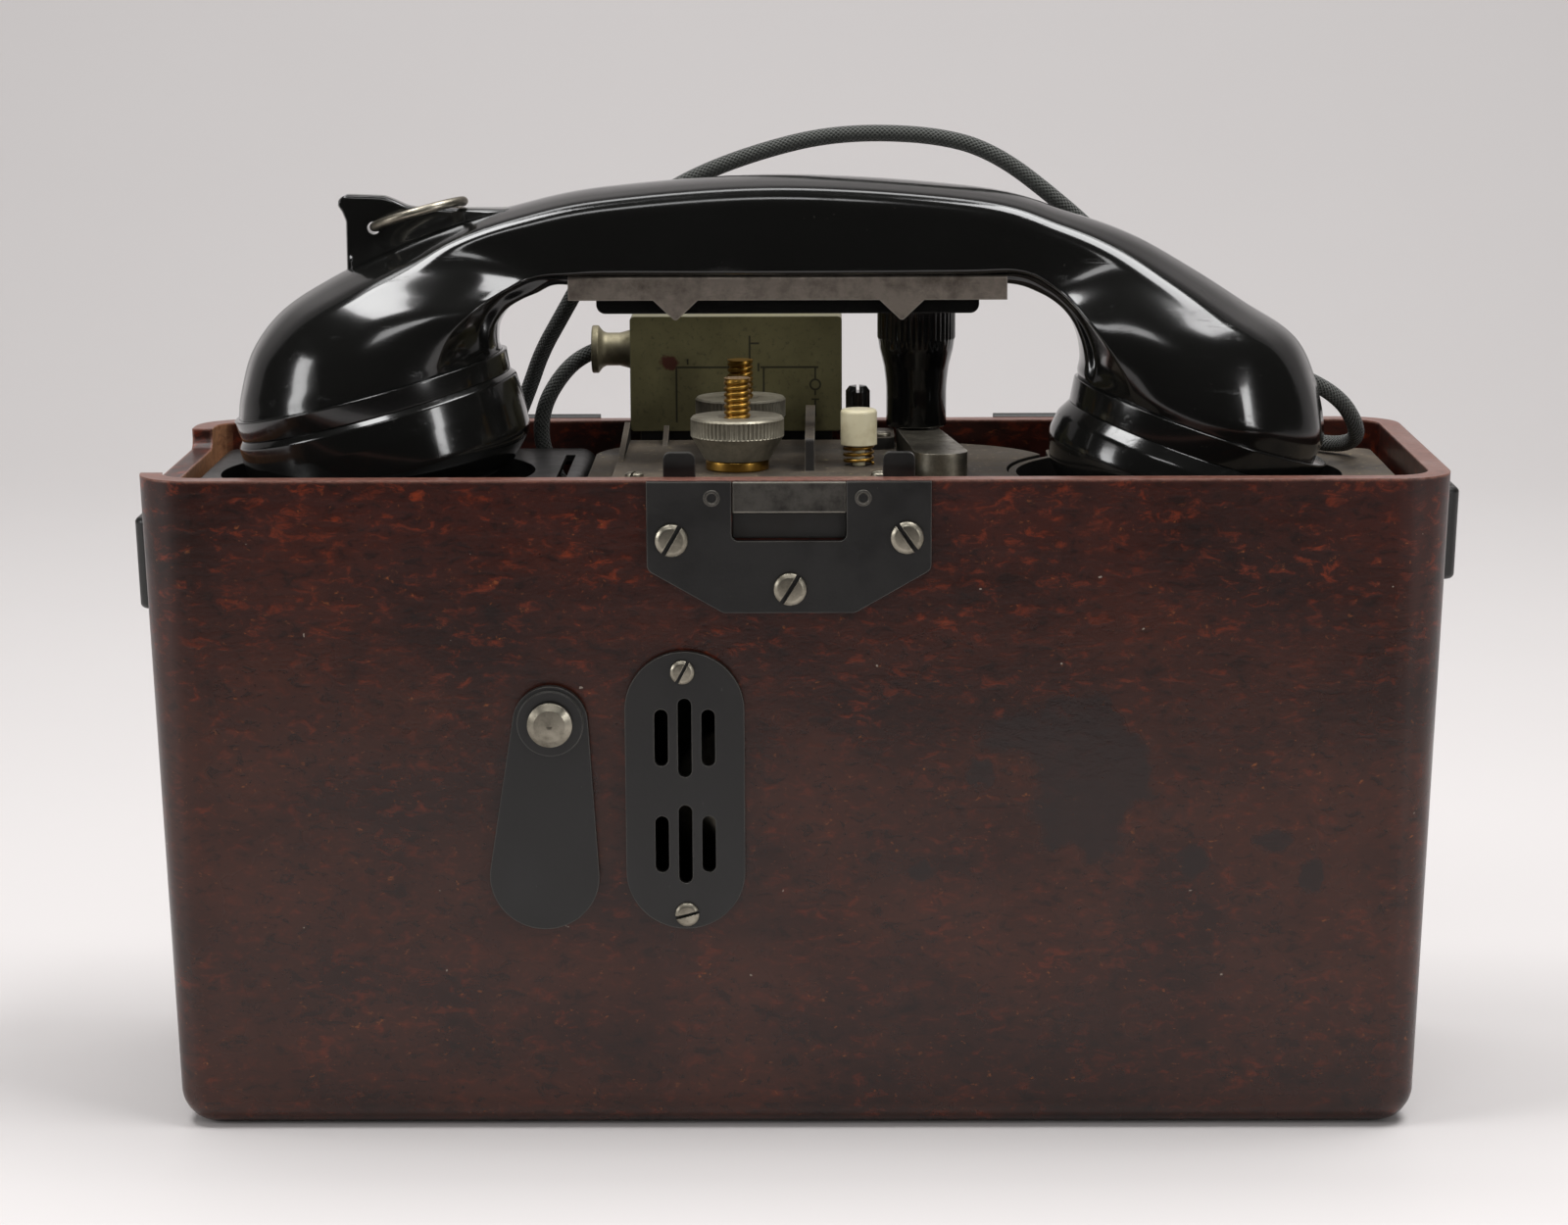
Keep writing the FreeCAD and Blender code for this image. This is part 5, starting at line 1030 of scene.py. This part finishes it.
class MakeButton(bpy.types.Operator):
    """The ivory test button's return spring, one wound wire"""
    bl_idname = "telephone.button"
    bl_label = "Test button spring"

    def execute(self, context):
        low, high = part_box("test_button_spring")
        wire = 0.35 * MM
        radius = (high.x - low.x) / 2 - wire
        centre = (low + high) / 2
        turns, count = 3, 84
        height = high.z - low.z - 2 * wire
        path = []
        for index in range(count + 1):
            angle = 2 * math.pi * turns * index / count
            path.append(Vector((centre.x + radius * math.cos(angle),
                                centre.y + radius * math.sin(angle),
                                low.z + wire + height * index / count)))
        piece = new_object("button_spring", tube("button_spring", path, wire, 10), "brass")
        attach(piece, "case")
        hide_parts("test_button_spring")
        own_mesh(piece)
        return {"FINISHED"}


class MakeGrip(bpy.types.Operator):
    """The crank's turned grip with its fluted ring"""
    bl_idname = "telephone.grip"
    bl_label = "Crank grip"

    def execute(self, context):
        place = upright(27.5, 30.6, 143.6)
        profile = [(2.65, 0.3), (6.9, 0.3, 0.6), (6.85, 9.5, 40), (7.4, 14.0, 12), (8.4, 18.0, 8),
                   (8.7, 20.3), (8.9, 20.7), (8.9, 30.2), (8.9, 30.8), (8.6, 31.4, 0.4),
                   (6.7, 34.0, 1.0), (4.2, 34.0), (4.2, 30.7), (2.65, 30.7)]

        def flutes(angle, radius, height):
            inside = 20.6 * MM < height < 30.4 * MM and radius > 8.8 * MM
            return -0.35 * MM * (0.5 - 0.5 * math.cos(angle * 40)) if inside else 0.0

        turned("crank_handle", profile, place, "handset_bakelite", "crank_grip", "crank_grip",
               segments=240, steps=8, ripple=flutes)
        return {"FINISHED"}


# Screws


def screw_template():
    """A slotted cheese head about its own Z axis, one millimetre in radius."""
    profile = [(0, -0.25), (1.0, -0.25), (1.0, 0.16, 0.12), (0.75, 0.34, 0.3), (0, 0.38)]
    head = lathe("screw_head", rounded_profile(profile, 4), 40, Matrix.Identity(4))
    return head


def screw_tree(template, slot_tool, material):
    """Heads on points, each turned about its own axis, then made real."""
    tree = bpy.data.node_groups.new("slotted screws", "GeometryNodeTree")
    tree.interface.new_socket("Points", in_out="INPUT", socket_type="NodeSocketGeometry")
    scale = tree.interface.new_socket("Radius", in_out="INPUT", socket_type="NodeSocketFloat")
    scale.default_value = 0.0035
    tree.interface.new_socket("Heads", in_out="OUTPUT", socket_type="NodeSocketGeometry")
    entry = add_node(tree, "NodeGroupInput")
    leave = add_node(tree, "NodeGroupOutput")
    head = add_node(tree, "GeometryNodeObjectInfo", {"Object": template})
    tool = add_node(tree, "GeometryNodeObjectInfo", {"Object": slot_tool})
    cut = add_node(tree, "GeometryNodeMeshBoolean", operation="DIFFERENCE")
    tree.links.new(head.outputs["Geometry"], cut.inputs["Mesh 1"])
    tree.links.new(tool.outputs["Geometry"], cut.inputs["Mesh 2"])
    turn = add_node(tree, "GeometryNodeInputNamedAttribute", {"Name": "turn"},
                    data_type="FLOAT_VECTOR")
    euler = add_node(tree, "FunctionNodeEulerToRotation",
                     {"Euler": turn.outputs["Attribute"]})
    spread = add_node(tree, "GeometryNodeInstanceOnPoints", {
        "Points": entry.outputs["Points"], "Instance": cut.outputs["Mesh"],
        "Rotation": euler.outputs["Rotation"]})
    size = add_node(tree, "ShaderNodeCombineXYZ", {
        "X": entry.outputs["Radius"], "Y": entry.outputs["Radius"], "Z": entry.outputs["Radius"]})
    tree.links.new(size.outputs["Vector"], spread.inputs["Scale"])
    real = add_node(tree, "GeometryNodeRealizeInstances", {"Geometry": spread.outputs["Instances"]})
    paint = add_node(tree, "GeometryNodeSetMaterial", {"Geometry": real.outputs["Geometry"],
                                                       "Material": material})
    tree.links.new(paint.outputs["Geometry"], leave.inputs["Heads"])
    return tree, scale.identifier


def place_screws(context, name, radius, spots, slot, body):
    """One piece of equal screw heads from their places, outward tilt and slot angle."""
    template = bpy.data.objects.new("head", screw_template())
    context.scene.collection.objects.link(template)
    build = bmesh.new()
    bmesh.ops.create_cube(build, size=1.0)
    bmesh.ops.scale(build, vec=(3.0, 0.27, 1.0), verts=build.verts)
    bmesh.ops.translate(build, vec=(0, 0, 0.38), verts=build.verts)
    slot_mesh = bpy.data.meshes.new("slot")
    build.to_mesh(slot_mesh)
    build.free()
    slot_tool = bpy.data.objects.new("slot", slot_mesh)
    context.scene.collection.objects.link(slot_tool)

    mesh = bpy.data.meshes.new(name)
    mesh.from_pydata([tuple(Vector(place) * MM) for place, _, _ in spots], [], [])
    layer = mesh.attributes.new("turn", "FLOAT_VECTOR", "POINT")
    for index, (_, facing, angle) in enumerate(spots):
        layer.data[index].vector = (facing @ Matrix.Rotation(math.radians(angle), 4, "Z")).to_euler()
    holder = bpy.data.objects.new(name, mesh)
    context.scene.collection.objects.link(holder)
    tree, key = screw_tree(template, slot_tool, finish_of(slot))
    spread = holder.modifiers.new("screws", "NODES")
    spread.node_group = tree
    spread[key] = radius * MM
    context.view_layer.update()
    made = bpy.data.meshes.new_from_object(holder.evaluated_get(context.evaluated_depsgraph_get()))
    for item in (holder, template, slot_tool):
        bpy.data.objects.remove(item)
    piece = new_object(name, made, slot)
    sharpen(piece, 30)
    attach(piece, body)


WALL_TOP = (0, -50, 143.2)
WALL_LEAN = math.radians(2.06)


class MakeScrews(bpy.types.Operator):
    """Slotted screws of the catch, the grille and the terminals"""
    bl_idname = "telephone.screws"
    bl_label = "Screws"

    def execute(self, context):
        front = Matrix.Rotation(WALL_LEAN, 4, "X") @ Matrix.Rotation(math.pi / 2, 4, "X")

        def on_wall(x, drop, stand):
            return (x, WALL_TOP[1] + drop * math.tan(WALL_LEAN) - stand, WALL_TOP[2] - drop)

        catch = [(on_wall(-25.7, 12.6, 1.7), front, 60), (on_wall(23.8, 12.1, 1.7), front, 125),
                 (on_wall(-0.8, 23.1, 1.7), front, 58)]
        place_screws(context, "catch_screws", 3.5, catch, "nickel", "case")
        grille = [(on_wall(-23.7, 41.0, 1.7), front, 62), (on_wall(-23.1, 94.2, 1.7), front, 15)]
        place_screws(context, "grille_screws", 2.6, grille, "nickel", "case")
        flat = Matrix.Identity(4)
        block = [((19.4, 17.4, 143.5), flat, 30), ((-34.5, -26.5, 140.8), flat, 75),
                 ((18.5, -26.5, 140.8), flat, 20)]
        place_screws(context, "terminal_screws", 2.0, block, "nickel", "case")
        return {"FINISHED"}


# Frame pieces that keep their own shape


class MakeCatchTrim(bpy.types.Operator):
    """Two eyelets on the catch plate, the worn slide behind its window and, below the slide, a
    near-black sheet of painted shade
    """
    bl_idname = "telephone.catch_trim"
    bl_label = "Catch trim"

    def execute(self, context):
        face = upright(*WALL_TOP) @ Matrix.Rotation(WALL_LEAN, 4, "X")
        eyelet = rounded_profile([(0, -0.4), (0.9, -0.4), (0.9, 0.25), (1.15, 0.55, 0.15),
                                  (1.75, 0.35, 0.2), (1.95, -0.2), (1.95, -0.6), (0, -0.6)])
        profile = [(radius * MM, height * MM) for radius, height in eyelet]
        for side, x in (("left", -17.2), ("right", 14.6)):
            place = face @ upright(x, -1.45, -3.6) @ Matrix.Rotation(math.pi / 2, 4, "X")
            self.trim("eyelet_" + side, outward(lathe("eyelet", profile, 32, place)), "rubbed_steel")
        # Below the slide, a near-black sheet paints the shade in the window's recess
        for label, low, high, stand, finish in (("slide", -6.9, -0.3, 0.75, "rubbed_steel"),
                                                ("backing", -12.4, -6.9, 0.25, "dark_recess")):
            plate = slab("catch_" + label, (-12.9, 11.1), (-stand, 0.4), (low, high), face)
            sharpen(self.trim(label, plate, finish), 30)
        return {"FINISHED"}

    def trim(self, label, mesh, finish):
        piece = new_object("catch_" + label, mesh, "black_steel", finish=finish)
        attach(piece, "case")
        return piece


class PaintFrame(bpy.types.Operator):
    """Finishes for the parts that are shown in their own shape"""
    bl_idname = "telephone.paint"
    bl_label = "Finish the parts"

    def execute(self, context):
        slots = {row["node"]: row["material_slot"] for row in frame["record"]["subparts"]}
        for name, node in frame["nodes"].items():
            node.data.materials.clear()
            finish = {"cord_gland": "gland_brass", "talk_bar": "worn_and_highlit_bar"}.get(name, slots[name])
            node.data.materials.append(finish_of(finish))
        return {"FINISHED"}


# Stage


def pale_surface(name, colour):
    """A matt pale surface that shows the same tone to the camera and in reflections."""
    material, add, shader, place = start_finish(name)
    grain = mottle(add, place, 166.7, 3, 0.5)
    tone = coat(add, colour, srgb("C2BEBD"), add("MapRange", grain, 0.3, 0.7, 0, 0.06))
    link_to(shader, Base_Color=tone, Roughness=0.6)
    return material


class MakeStage(bpy.types.Operator):
    """Floor, lamps and the camera"""
    bl_idname = "telephone.stage"
    bl_label = "Stage"

    def execute(self, context):
        settings = context.scene.telephone.stage
        front, bend_start, bend, height, half_width = -0.46, 0.9, 1.1, 4.0, 4.0
        profile = [(front, 0.0)]
        for step in range(25):
            angle = math.pi / 2 * step / 24
            profile.append((bend_start + bend * math.sin(angle), bend * (1 - math.cos(angle))))
        profile.append((bend_start + bend, height))
        points = [(x, y, z) for y, z in profile for x in (-half_width, half_width)]
        faces = [[2 * i, 2 * i + 1, 2 * i + 3, 2 * i + 2] for i in range(len(profile) - 1)]
        mesh = mesh_from("floor", points, faces)
        mesh.polygons.foreach_set("use_smooth", [True] * len(mesh.polygons))
        floor = bpy.data.objects.new("floor", mesh)
        context.scene.collection.objects.link(floor)
        mesh.materials.append(pale_surface("pale paper", tuple(settings.floor_colour)))

        power = settings.lamp_power
        target = (0, 0, 0.12)
        self.lamp(context, "overhead right", (0.42, -0.12, 1.15), target, 0.62, 0.42, power * 1.9)
        self.lamp(context, "overhead left", (-0.42, -0.15, 1.15), target, 0.5, 0.26, power * 1.15)
        self.lamp(context, "left window", (-1.02, -0.40, 0.42), target, 0.26, 0.42, power * 0.6)
        self.lamp(context, "right window", (0.95, -0.85, 0.36), target, 0.18, 0.44, power * 0.55)
        self.lamp(context, "front fill", (-0.15, -1.0, 1.0), target, 0.5, 0.2, power * 0.35)
        self.lamp(context, "backdrop lamp", (0.0, 0.55, 1.9), (0, 1.3, 0.15), 1.8, 0.6, power * 3.5)
        world = bpy.data.worlds.new("studio")
        world.use_nodes = True
        add = shader_nodes(world.node_tree)
        backdrop = world.node_tree.nodes["Background"]
        seen = coat(add, srgb("E6E5E6"), srgb("302E2D"), add("LightPath", out="Is Glossy Ray"))
        link_to(backdrop, Color=seen, Strength=0.36)
        context.scene.world = world
        context.scene.view_settings.view_transform = "Standard"
        self.camera(context)
        return {"FINISHED"}

    def lamp(self, context, name, place, target, width, height, power):
        data = bpy.data.lights.new(name, "AREA")
        data.shape = "RECTANGLE"
        data.size, data.size_y = width, height
        data.energy = power
        lamp = bpy.data.objects.new(name, data)
        lamp.location = place
        lamp.rotation_euler = (Vector(target) - Vector(place)).to_track_quat("-Z", "Y").to_euler()
        context.scene.collection.objects.link(lamp)

    def camera(self, context):
        data = bpy.data.cameras.new("camera")
        data.sensor_width = 36.0
        data.lens = 91.4
        data.clip_start, data.clip_end = 0.05, 20.0
        camera = bpy.data.objects.new("camera", data)
        pitch, yaw, roll = math.radians(10.293), math.radians(-0.600), math.radians(0.226)
        turn = (Matrix.Rotation(-yaw, 4, "Z") @ Matrix.Rotation(math.pi / 2 - pitch, 4, "X")
                @ Matrix.Rotation(-roll, 4, "Z"))
        camera.matrix_world = Matrix.Translation((0.00653, -0.87558, 0.26490)) @ turn
        context.scene.collection.objects.link(camera)
        context.scene.camera = camera


# Panel and registration


class TelephonePanel(bpy.types.Panel):
    """The telephone's pieces, in the order in which they are made"""
    bl_idname = "VIEW3D_PT_telephone"
    bl_label = "Field Telephone"
    bl_space_type = "VIEW_3D"
    bl_region_type = "UI"
    bl_category = "Telephone"

    def draw(self, context):
        for operator in OPERATORS:
            self.layout.operator(operator.bl_idname, text=operator.bl_label)


OPERATORS = (PaintFrame, MakeHandset, MakeCord, MakeTerminals, MakeButton, MakeGrip, MakeScrews,
             MakeCatchTrim,
             MakeStage)
CLASSES = (HandsetSettings, CordSettings, TerminalSettings, StageSettings, TelephoneSettings,
           *OPERATORS, TelephonePanel)


def register():
    for item in CLASSES:
        bpy.utils.register_class(item)
    bpy.types.Scene.telephone = PointerProperty(type=TelephoneSettings)


def unregister():
    del bpy.types.Scene.telephone
    for item in reversed(CLASSES):
        bpy.utils.unregister_class(item)


def main():
    register()
    for operator in OPERATORS:
        group, name = operator.bl_idname.split(".")
        getattr(getattr(bpy.ops, group), name)()


if __name__ == "__main__":
    main()
